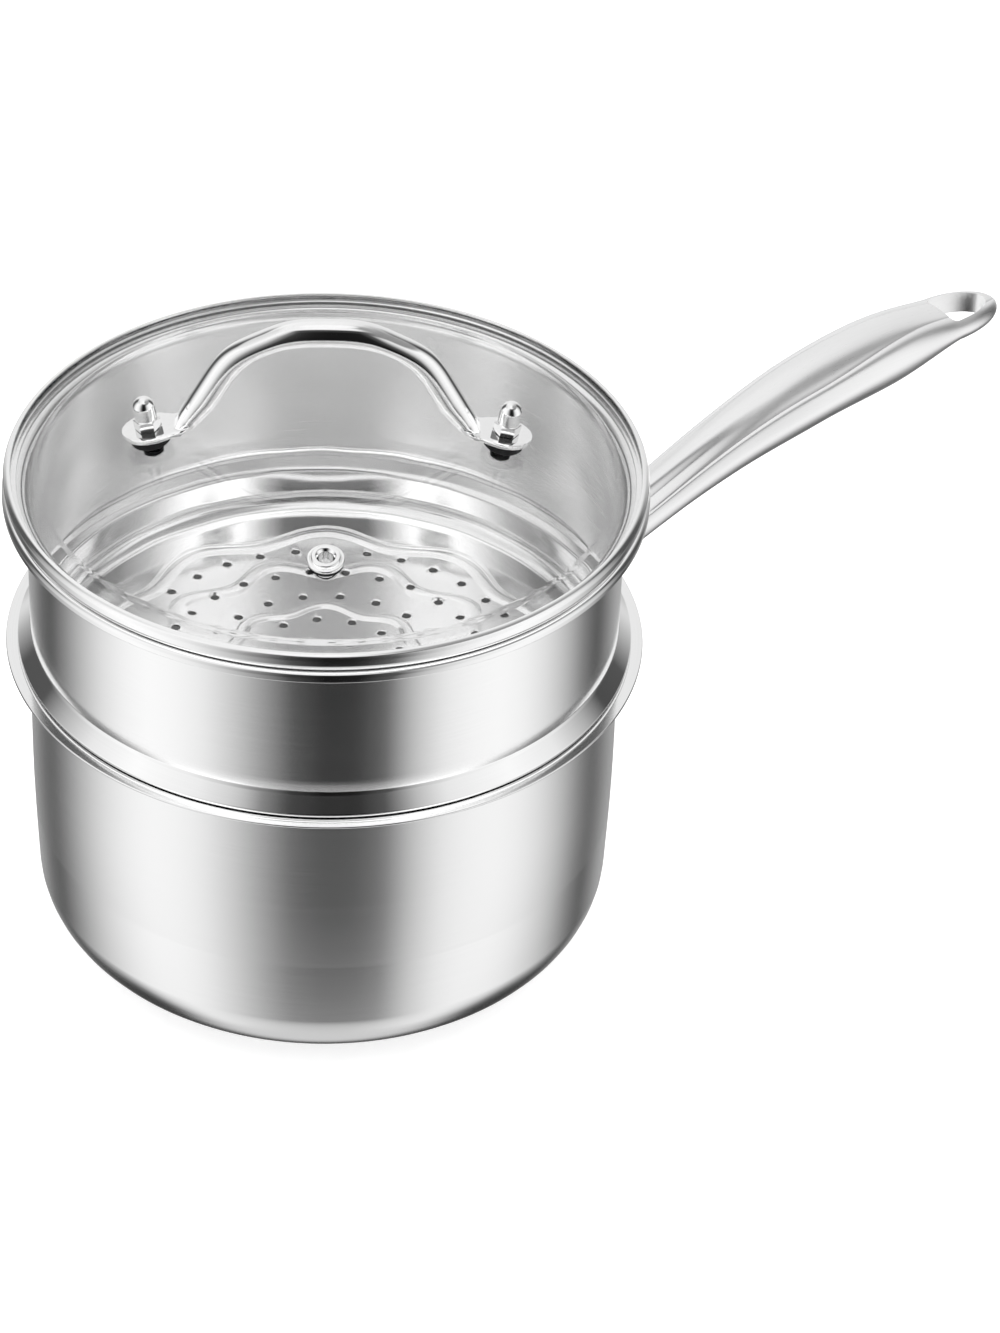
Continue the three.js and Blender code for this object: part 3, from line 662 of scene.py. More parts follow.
def handle_ring(distance, half_width, half_thickness, pan, level=None):
    """One section of the handle, drawn as a smooth line through its corners."""
    to_grip, to_tip = smoothstep(distance, *TO_GRIP), smoothstep(distance, *TO_TIP)
    knots = []
    for i, (root, grip, tip) in enumerate(zip(ROOT_SECTION, GRIP_SECTION, TIP_SECTION)):
        corner = Vector(root).lerp(Vector(grip), to_grip).lerp(Vector(tip), to_tip)
        knots.append((i, corner.x, corner.y))
    fine = [through(knots, i / 2) for i in range(2 * len(knots) - 1)]
    outline = fine + [(-y, z) for y, z in fine[-2:0:-1]]
    middle = pan.rim_level - pan.handle_drop + (handle_level(distance) if level is None else level)
    return [
        metres(pan.handle_root + distance, y * half_width, middle + z * half_thickness)
        for y, z in outline
    ]


class SAUCEPAN_OT_handle(Piece, bpy.types.Operator):
    """Form the pan's handle: a pressed grip with creased sides and a hanging hole in its tip"""

    bl_idname = "saucepan.handle"
    bl_label = "Pan handle"

    def hole(self, pan, start):
        from_x = pan.handle_root + start - HOLE_INSET
        outline = []
        for i in range(HOLE_STEPS + 1):
            angle = math.pi * (i / HOLE_STEPS - 0.5)
            along = HOLE_LENGTH * max(math.cos(angle), 0.0) ** HOLE_FULLNESS
            outline.append((from_x + along, HOLE_HALF_WIDTH * math.sin(angle)))
        middle = pan.rim_level - pan.handle_drop + handle_level(start)
        made = prism("handle_hole_tool", outline, middle - HOLE_REACH, middle + HOLE_REACH)
        soften(made, HOLE_CORNER, segments=6, angle=60)
        return made

    def execute(self, context):
        pan = in_millimetres(context.scene.saucepan_sizes)
        start, half_width, half_thickness = HANDLE_STATIONS[-1]
        rings = []
        for i in range(HANDLE_RINGS + 1):
            distance = start * i / HANDLE_RINGS
            rings.append(handle_ring(distance, *through(HANDLE_STATIONS, distance), pan))
        for degrees in TIP_TURNS:
            turn = math.radians(degrees)
            rings.append(handle_ring(
                start + HANDLE_TIP * math.sin(turn),
                half_width * math.cos(turn),
                half_thickness * math.cos(turn) ** TIP_FULLNESS,
                pan,
            ))
        grip = swept("pan_handle_grip", rings)
        combine(grip, self.hole(pan, start), "DIFFERENCE")
        soften(grip, 0.5, angle=55)
        shade(grip, 32)
        dress(grip, "saucepan", "pan_handle", "handle_steel")
        return {"FINISHED"}


class SAUCEPAN_OT_handle_joint(Piece, bpy.types.Operator):
    """Form the flange on the pan's wall, the collar that carries the handle and the two rivets"""

    bl_idname = "saucepan.handle_joint"
    bl_label = "Handle joint"

    half_width = 27.0
    half_height = 10.5
    plate = 2.0
    drop = 16.8
    # How far the collar's sections lie before the handle's end, and how much larger they are
    collar = ((-2.0, 2.2), (-1.4, 1.0), (-0.8, 0.35), (-0.3, 0.1))
    rivet_span = 38.0
    rivet_drop = 20.8
    rivet_height = 1.6
    rivet_radius = 2.5
    # A rivet's head, from its crown to its edge: shares of its radius and height, and the bend there
    rivet_head = ((0, 1, 0), (0.55, 0.9, 3.0), (1, 0.25, 0.5), (1, 0, 0.2))
    # Room under the inner head, since the wall curves away from it
    wall_curve = 0.3

    def flange(self, pan):
        """A flat plate with round ends, curved onto the wall, and a collar shaped like the handle's end."""
        clear_selection()
        bpy.ops.mesh.primitive_grid_add(x_subdivisions=72, y_subdivisions=28, size=2)
        made = name_new("handle_flange_plate")
        straight = self.half_width - self.half_height
        for vertex in made.data.vertices:
            u, v = vertex.co.xy
            end = math.sqrt(max(1 - v * v, 0.0)) * self.half_height
            vertex.co = metres(u * (straight + end), v * self.half_height, 0)
        modify(made, "SOLIDIFY", thickness=self.plate * MM, offset=1)
        soften(made, 0.6, angle=60)
        inner, middle = (pan.wall_radius + GAP) * MM, (pan.rim_level - self.drop) * MM
        for vertex in made.data.vertices:
            across, up, out = vertex.co
            angle, radius = across / inner, inner + out
            vertex.co = (radius * math.cos(angle), radius * math.sin(angle), middle + up)
        edit(made)
        bpy.ops.mesh.normals_make_consistent(inside=False)
        bpy.ops.object.mode_set(mode="OBJECT")
        _, half_width, half_thickness = HANDLE_STATIONS[0]
        collar = swept("handle_collar", [
            handle_ring(at, half_width + grow, half_thickness + grow, pan, 0.0) for at, grow in self.collar
        ])
        choose(made, collar)
        bpy.ops.object.join()
        shade(made, 40)
        return made

    def rivets(self, pan):
        """A shank along X with a low round head at each end, and its copy."""
        inside = pan.wall_radius - pan.sheet - GAP - self.wall_curve
        outside = pan.wall_radius + 2 * GAP + self.plate
        inner, outer = (
            [(share * pan.rivet_head, foot + way * rise * self.rivet_height, bend)
             for share, rise, bend in self.rivet_head]
            for foot, way in ((inside, -1), (outside, 1))
        )
        shank = [(self.rivet_radius, inside, 0), (self.rivet_radius, outside, 0)]
        made = turned("handle_rivet_left_head", inner + shank + outer[::-1])
        angle = math.asin(self.rivet_span / 2 / pan.wall_radius)
        level = Matrix.Translation((0, 0, (pan.rim_level - self.rivet_drop) * MM))
        place(made, Matrix.Rotation(angle, 4, "Z") @ level @ Matrix.Rotation(math.pi / 2, 4, "Y"))
        shade(made, 40)
        other = copy_of(made, "handle_rivet_right_head")
        place(other, Matrix.Rotation(-2 * angle, 4, "Z"))
        return made, other

    def execute(self, context):
        pan = in_millimetres(context.scene.saucepan_sizes)
        dress(self.flange(pan), "saucepan", "handle_flange", "handle_steel")
        for rivet, node in zip(self.rivets(pan), ("handle_rivet_left", "handle_rivet_right")):
            dress(rivet, "saucepan", node, "polished_steel")
        return {"FINISHED"}


# Steamer insert, in millimetres

# Each ring of steam holes, from the middle out: how many, and the first hole's angle in degrees
STEAM_RINGS = ((6, 16.8), (14, 8.7), (20, 11.1), (28, 8.6), (34, 10.4))
# Each embossed wave, from the middle out: lobes, mean radius, swing, half width with its flanks, first angle
WAVES = ((8, 34.3, 2.0, 2.8, 9.3), (10, 58.0, 3.7, 3.7, 0.3), (10, 77.2, 3.3, 3.8, 18.3))
# Rings of the floor's mesh: across each wave as shares of its half width, and between the waves
WAVE_RINGS = (-1, -0.87, -0.74, -0.6, -0.46, -0.3, 0, 0.3, 0.46, 0.6, 0.74, 0.87, 1)
FLOOR_RINGS = (0, 2, 5, 9, 13, 17, 20, 24, 28, 44, 48, 66, 69.5, 84, 87, 90)
WAVE_FLANK = 0.8
# Where the floor lies still again, inside the first wave and outside the last
WAVES_FROM = 20.0
WAVES_TO = 90.0
# The bead that sits on the pan's rim: radius, level, bend
SKIRT_TOP = 116.8
BEAD = ((103.5, 119.1, 0.5), (104.75, 119.35, 1.0), (104.75, 120.6, 0.9))


def wave_swing(wave, angle):
    lobes, _, swing, _, turn = wave
    return swing * math.cos(lobes * (angle - math.radians(turn)))


def wave_shift(radius, angle):
    """How far a point of the floor moves out, so that its ring follows the waves."""
    if not WAVES_FROM < radius < WAVES_TO:
        return 0.0
    knots = [(WAVES_FROM, 0.0)]
    for wave in WAVES:
        shift = wave_swing(wave, angle)
        knots += [(wave[1] - wave[3], shift), (wave[1] + wave[3], shift)]
    knots.append((WAVES_TO, 0.0))
    (a, low), (b, high) = next((p, q) for p, q in zip(knots, knots[1:]) if p[0] <= radius <= q[0])
    return low + (high - low) * (radius - a) / (b - a)


def wave_rise(offset, half_width):
    """Share of a wave's height at a distance from its middle line: flat on top, with soft flanks."""
    return smoothstep(1 - abs(offset) / half_width, 0.0, WAVE_FLANK)


class SAUCEPAN_OT_steamer(Piece, bpy.types.Operator):
    """Press the steamer insert, emboss its floor and punch its steam holes"""

    bl_idname = "saucepan.steamer"
    bl_label = "Steamer insert"

    floor_bend = 7.0
    skirt_bend = 0.8
    lip_bend = 4.0
    edge_bend = 0.8
    # The shoulder from the bead to the wall: how far out from the wall, level, bend
    shoulder = ((-0.3, 126.0, 2.0), (0.0, 130.5, 40.0))
    # How far past the floor and its waves a point still counts as theirs
    floor_slack = 0.1
    waves_slack = 0.5
    # The punch of a steam hole: how far it reaches below and above the floor, and its flare
    punch_low = -3.0
    punch_high = 1.5
    flare = 0.6
    flare_depth = 0.3
    punch_steps = 18

    def basket(self, steamer):
        low, lip = steamer.floor_level, steamer.lip_level
        skirt, wall = steamer.skirt_radius, steamer.wall_radius
        edge = steamer.lip_radius - steamer.sheet
        radii = {*FLOOR_RINGS}
        for _, radius, _, half, _ in WAVES:
            radii.update(radius + half * share for share in WAVE_RINGS)
        return pressed("steamer_insert_pressed", [
            *((radius, low, 0) for radius in sorted(radii)),
            (skirt, low, self.floor_bend),
            (skirt, SKIRT_TOP, self.skirt_bend),
            *BEAD,
            *((wall + out, level, bend) for out, level, bend in self.shoulder),
            (wall, lip, self.lip_bend),
            (edge, lip, self.edge_bend),
            (edge, lip - steamer.lip_edge, 0),
        ])

    def emboss(self, made, steamer):
        """Move the floor's rings onto the waves and raise them."""
        highest = (steamer.floor_level + self.floor_slack) * MM
        farthest = (WAVES_TO + self.waves_slack) * MM
        for vertex in made.data.vertices:
            if vertex.co.z > highest or vertex.co.xy.length > farthest:
                continue
            radius, angle = vertex.co.xy.length / MM, math.atan2(vertex.co.y, vertex.co.x)
            rise = max(wave_rise(radius - wave[1], wave[3]) for wave in WAVES)
            reach = (radius + wave_shift(radius, angle)) * MM
            vertex.co.xy = (reach * math.cos(angle), reach * math.sin(angle))
            vertex.co.z += rise * steamer.wave_height * MM

    def punches(self, steamer):
        """One punch with a slight flare at its top, copied to every hole, and all joined to one tool."""
        hole = steamer.hole_radius
        punch = turned("steam_hole_tool", [
            (0, self.punch_low, 0),
            (hole, self.punch_low, 0),
            (hole, -self.flare_depth, 0),
            (hole + self.flare, self.flare_depth, 0),
            (hole + self.flare, self.punch_high, 0),
            (0, self.punch_high, 0),
        ], self.punch_steps)
        made = []
        for ring, (count, first) in enumerate(STEAM_RINGS, 1):
            for i in range(count):
                angle = math.radians(first + 360 * i / count)
                reach = ring * steamer.hole_pitch
                rise = max(wave_rise(reach - wave[1] - wave_swing(wave, angle), wave[3]) for wave in WAVES)
                level = steamer.floor_level + steamer.sheet + rise * steamer.wave_height
                spot = Vector((reach * math.cos(angle), reach * math.sin(angle), level)) * MM
                made.append(copy_of(punch, "steam_hole_tool"))
                place(made[-1], Matrix.Translation(spot))
        bpy.data.objects.remove(punch)
        choose(*made)
        bpy.ops.object.join()
        return bpy.context.object

    def execute(self, context):
        steamer = in_millimetres(context.scene.steamer_sizes)
        made = self.basket(steamer)
        self.emboss(made, steamer)
        thicken(made, steamer.sheet, edge=0.25)
        combine(made, self.punches(steamer), "DIFFERENCE")
        shade(made)
        dress(made, "steamer", "steamer_insert", "insert_steel")
        return {"FINISHED"}


# Lid, in millimetres

VENT_ANGLE = -math.pi / 2
BOLT_ANGLES = (0.0, math.pi)
BOLT_RADIUS = 2.4
VENT_TUBE = 3.3
BOLT_BORE = BOLT_RADIUS + GAP


def dome_radius(lid):
    base = lid.glass_radius - lid.margin_width
    return (base ** 2 + lid.dome_rise ** 2) / (2 * lid.dome_rise)


def dome_level(lid, radius):
    """Height of the glass's outer face at a distance from the lid's axis."""
    sphere = dome_radius(lid)
    top = lid.margin_level + lid.glass_thickness
    return top + lid.dome_rise - sphere + math.sqrt(sphere ** 2 - radius ** 2)


def on_dome(lid, angle, radius):
    """The place of a fitting on the dome, its own Z along the glass's normal, on the turned lid."""
    spot = metres(radius * math.cos(angle), radius * math.sin(angle), dome_level(lid, radius))
    tilt = Matrix.Rotation(math.asin(radius / dome_radius(lid)), 4, "Y")
    turn = Matrix.Rotation(lid.turn, 4, "Z")
    return turn @ Matrix.Translation(spot) @ Matrix.Rotation(angle, 4, "Z") @ tilt


class SAUCEPAN_OT_lid_glass(Piece, bpy.types.Operator):
    """Press the lid's glass: a low dome with a flat margin, drilled for the bolts and the vent"""

    bl_idname = "saucepan.lid_glass"
    bl_label = "Lid glass"

    dome_steps = 26
    margin_bend = 6.0
    lower_edge = 1.8
    upper_edge = 1.4
    # The margin starts a little further in on the underside
    under_inset = 0.7
    drill_ends = (-14, 10)

    def execute(self, context):
        lid = in_millimetres(context.scene.lid_sizes)
        sphere, thick = dome_radius(lid), lid.glass_thickness
        edge, low = lid.glass_radius, lid.margin_level
        base = edge - lid.margin_width
        centre = low + thick + lid.dome_rise - sphere
        angles = [math.asin(base / sphere) * i / self.dome_steps for i in range(self.dome_steps)]
        under, over = (
            [(radius * math.sin(a), centre + radius * math.cos(a), 0) for a in angles]
            for radius in (sphere - thick, sphere)
        )
        made = turned("lid_glass_dome", [
            *under,
            (base - self.under_inset, low, self.margin_bend),
            (edge, low, self.lower_edge),
            (edge, low + thick, self.upper_edge),
            (base, low + thick, self.margin_bend),
            *reversed(over),
        ], AROUND)
        bores = [(angle, lid.bolt_spacing / 2, BOLT_BORE) for angle in BOLT_ANGLES]
        for angle, radius, bore in (*bores, (VENT_ANGLE, lid.vent_offset, VENT_TUBE + GAP)):
            tool = drill("lid_drill", bore, *self.drill_ends)
            place(tool, on_dome(lid, angle, radius))
            combine(made, tool, "DIFFERENCE")
        shade(made, 40)
        dress(made, "lid", "lid_glass", "clear_glass")
        return {"FINISHED"}


class SAUCEPAN_OT_lid_band(Piece, bpy.types.Operator):
    """Roll the steel band round the edge of the glass"""

    bl_idname = "saucepan.lid_band"
    bl_label = "Lid band"

    # How far the band reaches under and over the glass, and its bends
    lower_reach = 4.4
    upper_reach = 2.4
    lower_bend = 3.0
    upper_bend = 2.2

    def execute(self, context):
        lid = in_millimetres(context.scene.lid_sizes)
        made = pressed("lid_band_rolled", [
            (lid.band_radius - self.lower_reach, lid.band_foot, 0),
            (lid.band_radius, lid.band_foot, self.lower_bend),
            (lid.band_radius, lid.band_top, self.upper_bend),
            (lid.band_radius - self.upper_reach, lid.band_top, 0),
        ])
        thicken(made, lid.band_sheet, edge=0.25)
        dress(made, "lid", "lid_band", "band_steel")
        return {"FINISHED"}


# Lid handle, in millimetres
BAR_RADIUS = 4.8
BAR_TUBE = 2 * BAR_RADIUS
# Slope of the tube's middle line in degrees, by the distance along it from the crown
BAR_LINE = (
    (0, 0.0), (6, 2.8), (12, 11.2), (18, 22.3), (24, 27.6), (30, 36.5), (36, 51.0), (42, 60.5), (46, 61.5),
)
BAR_STEPS = 56
# The tube is a little flatter where its shoulder is bent: by how much, and where along it
BAR_PINCH = 1.3
PINCH_AT = 23.0
PINCH_REACH = 14.0
# The bend into the foot: its radius and steps, and the tube's blunt end on it, as shares of the bend
BAR_FOOT = 22.0
FOOT_STEPS = 24
NOSE_FROM = 0.76
NOSE_TO = 0.97
NOSE_STEPS = (0.0, 0.2, 0.38, 0.53, 0.66, 0.76, 0.84, 0.9, 0.95, 0.98, 0.995, 1.0)
NOSE_NARROWS = 0.75
FOOT_WIDENS = (0.4, 1.0)
FOOT_FLATTENS = (0.25, 0.9)
# The flat foot: a plate with a round end, and a neck towards the bend; distances are past its bolt
NECK_HALF_WIDTH = 5.5
NECK_TO_TAB = (-12.5, -1.0)
TAB_THICKNESS = 1.8
TAB_HALF_WIDTH = 8.6
TAB_END = 9.0
TAB_STOPS = (-7.0, -5.5, -4.0, -2.5, -1.2)
TAB_TURNS = (0, 8, 16, 25, 34, 43, 52, 60, 68, 75, 81, 86, 89)
TAB_RIDGE = 0.55
TAB_EDGE = 0.25
PLATE_FILLET = 0.6
PAD_THICKNESS = 3.2
TAB_LOW = GAP + PAD_THICKNESS + GAP


def tab_half_width(past_bolt):
    """Half the width of the flat foot, by the distance past its bolt: a round end and a narrower neck."""
    if past_bolt < 0:
        return NECK_HALF_WIDTH + (TAB_HALF_WIDTH - NECK_HALF_WIDTH) * smoothstep(past_bolt, *NECK_TO_TAB)
    return TAB_HALF_WIDTH * math.sqrt(max(1 - (past_bolt / TAB_END) ** 2, 0.0))


def heading_to(angle):
    return Vector((math.cos(angle), math.sin(angle)))


def bar_stations(lid):
    """Half the lid handle, from its middle out: place of its underside, heading, height of the tube,
    half width of the foot, half width of the tube's ridge on it, and how far it is pressed flat."""
    bolt = lid.bolt_spacing / 2
    tilt = math.asin(bolt / dome_radius(lid))
    foot_x = bolt + TAB_LOW * math.sin(tilt)
    foot_z = dome_level(lid, bolt) + TAB_LOW * math.cos(tilt)
    stations = []

    def stop(at, heading, height=BAR_TUBE, half_width=BAR_RADIUS, ridge=BAR_RADIUS, press=0.0):
        stations.append((at.copy(), heading, height, half_width, ridge, press))

    # The bent tube, by its middle line
    middle = Vector((0, foot_z + lid.bar_rise + BAR_RADIUS))
    line_end = BAR_LINE[-1][0]
    for i in range(BAR_STEPS + 1):
        along = line_end * i / BAR_STEPS
        heading = -math.radians(through(BAR_LINE, along)[0])
        if i:
            halfway = -math.radians(through(BAR_LINE, along - line_end / BAR_STEPS / 2)[0])
            middle += heading_to(halfway) * line_end / BAR_STEPS
        off = min(abs(along - PINCH_AT) / PINCH_REACH, 1.0)
        height = BAR_TUBE - BAR_PINCH * math.cos(math.pi / 2 * off) ** 2
        stop(middle + heading_to(heading - math.pi / 2) * height / 2, heading, height)
    # The straight leg and the flat of the foot take up what is left on the way to the bolt
    slope = math.radians(BAR_LINE[-1][1])
    at = stations[-1][0].copy()
    left_x = foot_x - at.x - BAR_FOOT * (math.sin(slope) - math.sin(tilt))
    left_z = at.y - foot_z - BAR_FOOT * (math.cos(tilt) - math.cos(slope))
    flat = (left_z - math.tan(slope) * left_x) / (math.sin(tilt) - math.tan(slope) * math.cos(tilt))
    leg = (left_x - flat * math.cos(tilt)) / math.cos(slope)
    for _ in range(2):
        at += heading_to(-slope) * leg / 2
        stop(at, -slope)
    # The bend into the foot: the tube's top runs on straight, then ends in a blunt nose
    centre = at + heading_to(math.pi / 2 - slope) * BAR_FOOT
    before = [NOSE_FROM * i / FOOT_STEPS for i in range(1, FOOT_STEPS)]
    nose = [NOSE_FROM + (NOSE_TO - NOSE_FROM) * share for share in NOSE_STEPS]
    for share in (*before, *nose, 1.0):
        bent = (slope - tilt) * share
        heading = bent - slope
        at = centre + heading_to(heading - math.pi / 2) * BAR_FOOT
        straight = (BAR_TUBE - BAR_FOOT * (1 - math.cos(bent))) / math.cos(bent)
        ended = min(max((share - NOSE_FROM) / (NOSE_TO - NOSE_FROM), 0.0), 1.0)
        height = TAB_THICKNESS + (straight - TAB_THICKNESS) * math.sqrt(1 - ended ** 2)
        half_width = BAR_RADIUS + (tab_half_width(-flat) - BAR_RADIUS) * smoothstep(share, *FOOT_WIDENS)
        ridge = BAR_RADIUS * math.sqrt(1 - NOSE_NARROWS * ended ** 2)
        stop(at, heading, height, half_width, ridge, smoothstep(share, *FOOT_FLATTENS))
    ends = [TAB_END * math.sin(math.radians(degrees)) for degrees in TAB_TURNS]
    before_bolt = -flat
    for past_bolt in (*TAB_STOPS, *ends):
        at = at + heading_to(-tilt) * (past_bolt - before_bolt)
        before_bolt = past_bolt
        half_width = tab_half_width(past_bolt)
        stop(at, -tilt, TAB_THICKNESS, half_width, min(BAR_RADIUS, TAB_RIDGE * half_width), 1.0)
    return stations


def bar_ring(at, heading, height, half_width, ridge, press):
    """One section of the bar: a round tube, pressed into a flat foot with the tube's ridge on it."""
    level = height / 2 + (max(height - ridge, TAB_THICKNESS) - height / 2) * press
    fillet = min(PLATE_FILLET, (height - TAB_THICKNESS) / 2)
    # The pressed foot, from the ridge's side over the edge of the plate to its underside: share of the way
    # from ridge to edge, and height
    plate = (
        (0.02, (TAB_THICKNESS + fillet + level) / 2),
        (0.05, TAB_THICKNESS + fillet),
        (0.12, TAB_THICKNESS + 0.3 * fillet),
        (0.35, TAB_THICKNESS),
        (0.8, TAB_THICKNESS),
        (0.96, TAB_THICKNESS - TAB_EDGE),
        (1.0, TAB_THICKNESS / 2),
        (0.96, TAB_EDGE),
        (0.8, 0.0),
    )
    flat = [(ridge + share * (half_width - ridge), z) for share, z in plate]
    flat += [(share * ridge, 0.0) for share in (0.8, 0.4, 0.0)]
    half = []
    for i in range(11):
        angle = math.radians(9 * i)
        half.append(Vector((ridge * math.sin(angle), level + (height - level) * math.cos(angle))))
    for i, spot in enumerate(flat, 1):
        angle = math.pi / 2 * i / len(flat)
        tube = Vector((BAR_RADIUS * math.cos(angle), height / 2 * (1 - math.sin(angle))))
        half.append(tube.lerp(Vector(spot), press))
    half[-1].x = 0.0
    ring = half + [Vector((-p.x, p.y)) for p in half[-2:0:-1]]
    lean, lift = math.sin(heading), math.cos(heading)
    return [Vector((at.x - p.y * lean, p.x, at.y + p.y * lift)) * MM for p in ring]


class SAUCEPAN_OT_lid_bar(Piece, bpy.types.Operator):
    """Bend the lid's handle from a tube and flatten its feet for the bolts"""

    bl_idname = "saucepan.lid_bar"
    bl_label = "Lid handle"

    drill_ends = (0, 8)

    def execute(self, context):
        lid = in_millimetres(context.scene.lid_sizes)
        right = [bar_ring(*station) for station in bar_stations(lid)]
        left = [[Vector((-p.x, p.y, p.z)) for p in ring] for ring in reversed(right[1:])]
        made = swept("lid_handle_bar", left + right)
        place(made, Matrix.Rotation(lid.turn, 4, "Z"))
        for angle in BOLT_ANGLES:
            tool = drill("bar_drill", BOLT_BORE, *self.drill_ends)
            place(tool, on_dome(lid, angle, lid.bolt_spacing / 2))
            combine(made, tool, "DIFFERENCE")
        soften(made, 0.15, segments=2)
        shade(made, 40)
        dress(made, "lid", "lid_handle", "polished_steel")
        return {"FINISHED"}


# Lid fastenings, in millimetres above the glass's outer face
CAP_LOW = TAB_LOW + TAB_THICKNESS + GAP
CAP_HEX_HEIGHT = 3.6
CAP_FLATS = 8.0
CAP_CORNER = 0.45
CAP_TURNED = 0.97
CAP_ROOT = 2.0
CAP_DOME_RADIUS = 3.75
CAP_DOME_HEIGHT = 8.0
CAP_BORE = 7.0
PAD_RADIUS = 6.8
LOWER_PAD_RADIUS = 3.5
LOWER_PAD_THICKNESS = 1.2
HEAD_RADIUS = 3.6
HEAD_HEIGHT = 1.6


class SAUCEPAN_OT_lid_fastenings(Piece, bpy.types.Operator):
    """Stack the pads, screw and cap nut that hold the lid's handle, once for each foot"""

    bl_idname = "saucepan.lid_fastenings"
    bl_label = "Lid fastenings"

    def cap_nut(self):
        """A hexagon with its corners turned off, closed by a tall dome and bored from below."""
        low, top = CAP_LOW, CAP_LOW + CAP_HEX_HEIGHT
        flat = CAP_FLATS / 2
        corner = flat / math.cos(math.pi / 6)
        turns = [math.pi * i / 3 for i in range(6)]
        outline = [(corner * math.cos(turn), corner * math.sin(turn)) for turn in turns]
        made = prism("lid_cap_nut_right_turned", outline, low, top)
        turning = turned("nut_turning", [
            (0, low, 0),
            (corner, low, 0),
            (corner, top - CAP_CORNER, 0),
            (flat * CAP_TURNED, top, 0),
            (0, top, 0),
        ])
        combine(made, turning, "INTERSECT")
        radius, crown = CAP_DOME_RADIUS, top + CAP_DOME_HEIGHT
        dome = turned("cap_dome", [
            (0, top - CAP_ROOT, 0), (radius, top - CAP_ROOT, 0), (radius, crown, radius), (0, crown, 0),
        ])
        combine(made, dome, "UNION")
        combine(made, drill("nut_drill", BOLT_BORE, low - 1, low + CAP_BORE), "DIFFERENCE")
        soften(made, 0.12, segments=2, angle=28)
        return made

    def screw(self, top):
        shank = CAP_LOW + CAP_BORE - GAP
        return turned("lid_screw_right_turned", [
            (0, top - HEAD_HEIGHT, 0),
            (HEAD_RADIUS * 0.7, top - HEAD_HEIGHT * 0.9, 2.5),
            (HEAD_RADIUS, top - HEAD_HEIGHT * 0.4, 0.5),
            (HEAD_RADIUS, top, 0.2),
            (BOLT_RADIUS, top, 0),
            (BOLT_RADIUS, shank, 0.3),
            (0, shank, 0),
        ])

    def execute(self, context):
        lid = in_millimetres(context.scene.lid_sizes)
        pad_top, under = GAP + PAD_THICKNESS, -lid.glass_thickness - GAP
        lower = under - LOWER_PAD_THICKNESS
        stack = {
            "lid_pad_upper": washer("lid_pad_upper_right_moulded", BOLT_BORE, PAD_RADIUS, GAP, pad_top, 0.6),
            "lid_pad_lower": washer(
                "lid_pad_lower_right_moulded", BOLT_BORE, LOWER_PAD_RADIUS, lower, under, 0.35
            ),
            "lid_screw": self.screw(lower - GAP),
            "lid_cap_nut": self.cap_nut(),
        }
        for node, right in stack.items():
            place(right, on_dome(lid, 0.0, lid.bolt_spacing / 2))
            shade(right, 30)
            left = copy_of(right, right.name.replace("right", "left"))
            place(left, Matrix.Rotation(math.pi, 4, "Z"))
            slot = "dark_silicone" if "pad" in node else "polished_steel"
            dress(right, "lid", node + "_right", slot)
            dress(left, "lid", node + "_left", slot)
        return {"FINISHED"}


class SAUCEPAN_OT_lid_vent(Piece, bpy.types.Operator):
    """Set the steam vent in the glass: a stepped eyelet over its seal"""

    bl_idname = "saucepan.lid_vent"
    bl_label = "Steam vent"

    bore = 2.5
    flange = 6.3
    step = 4.8
    roll = 4.0
    roll_height = 0.9
    seal_radius = 5.9
    seal_thickness = 1.3
    flange_height = 2.4

    def execute(self, context):
        lid = in_millimetres(context.scene.lid_sizes)
        seal_top = GAP + self.seal_thickness
        low, top = seal_top + GAP, seal_top + GAP + self.flange_height
        roll_top = -lid.glass_thickness - GAP
        eyelet = turned("vent_eyelet_rolled", [
            (self.bore, roll_top - self.roll_height, 0.3),
            (self.roll, roll_top - self.roll_height, 0.4),
            (self.roll, roll_top, 0.3),
            (VENT_TUBE, roll_top, 0),
            (VENT_TUBE, low, 0),
            (self.flange, low, 0.45),
            (self.flange, low + 1.1, 0.45),
            (self.step + 0.5, low + 1.2, 0.15),
            (self.step + 0.25, low + 0.95, 0.1),
            (self.step, top - 0.1, 0.45),
            (self.bore + 0.9, top, 0.5),
            (self.bore, top - 1.0, 0.6),
        ], closed=True)
        seal = washer("vent_seal_moulded", VENT_TUBE + GAP, self.seal_radius, GAP, seal_top, 0.35)
        for piece, node, slot in (
            (eyelet, "vent_eyelet", "polished_steel"), (seal, "vent_seal", "dark_silicone"),
        ):
            place(piece, on_dome(lid, VENT_ANGLE, lid.vent_offset))
            shade(piece, 40)
            dress(piece, "lid", node, slot)
        return {"FINISHED"}


# Stage, in metres

FLOOR_RADIUS = 6.0
FLOOR_INSET = 4.0

# The view: where the pan's rim centre lies in a picture of 1000 by 1333 points, and from where it is seen
PICTURE = (1000.0, 1333.0)
AIM_AT = (325.0, 632.26)
AIM_LEVEL = 0.118
CAMERA_AZIMUTH = math.radians(-125.687)
CAMERA_ELEVATION = math.radians(36.225)
CAMERA_ROLL = math.radians(0.6676)
CAMERA_DISTANCE = 1.86513
CAMERA_REACH = 50.0
CAMERA_LENS = 147.07
CAMERA_SENSOR = 36.0

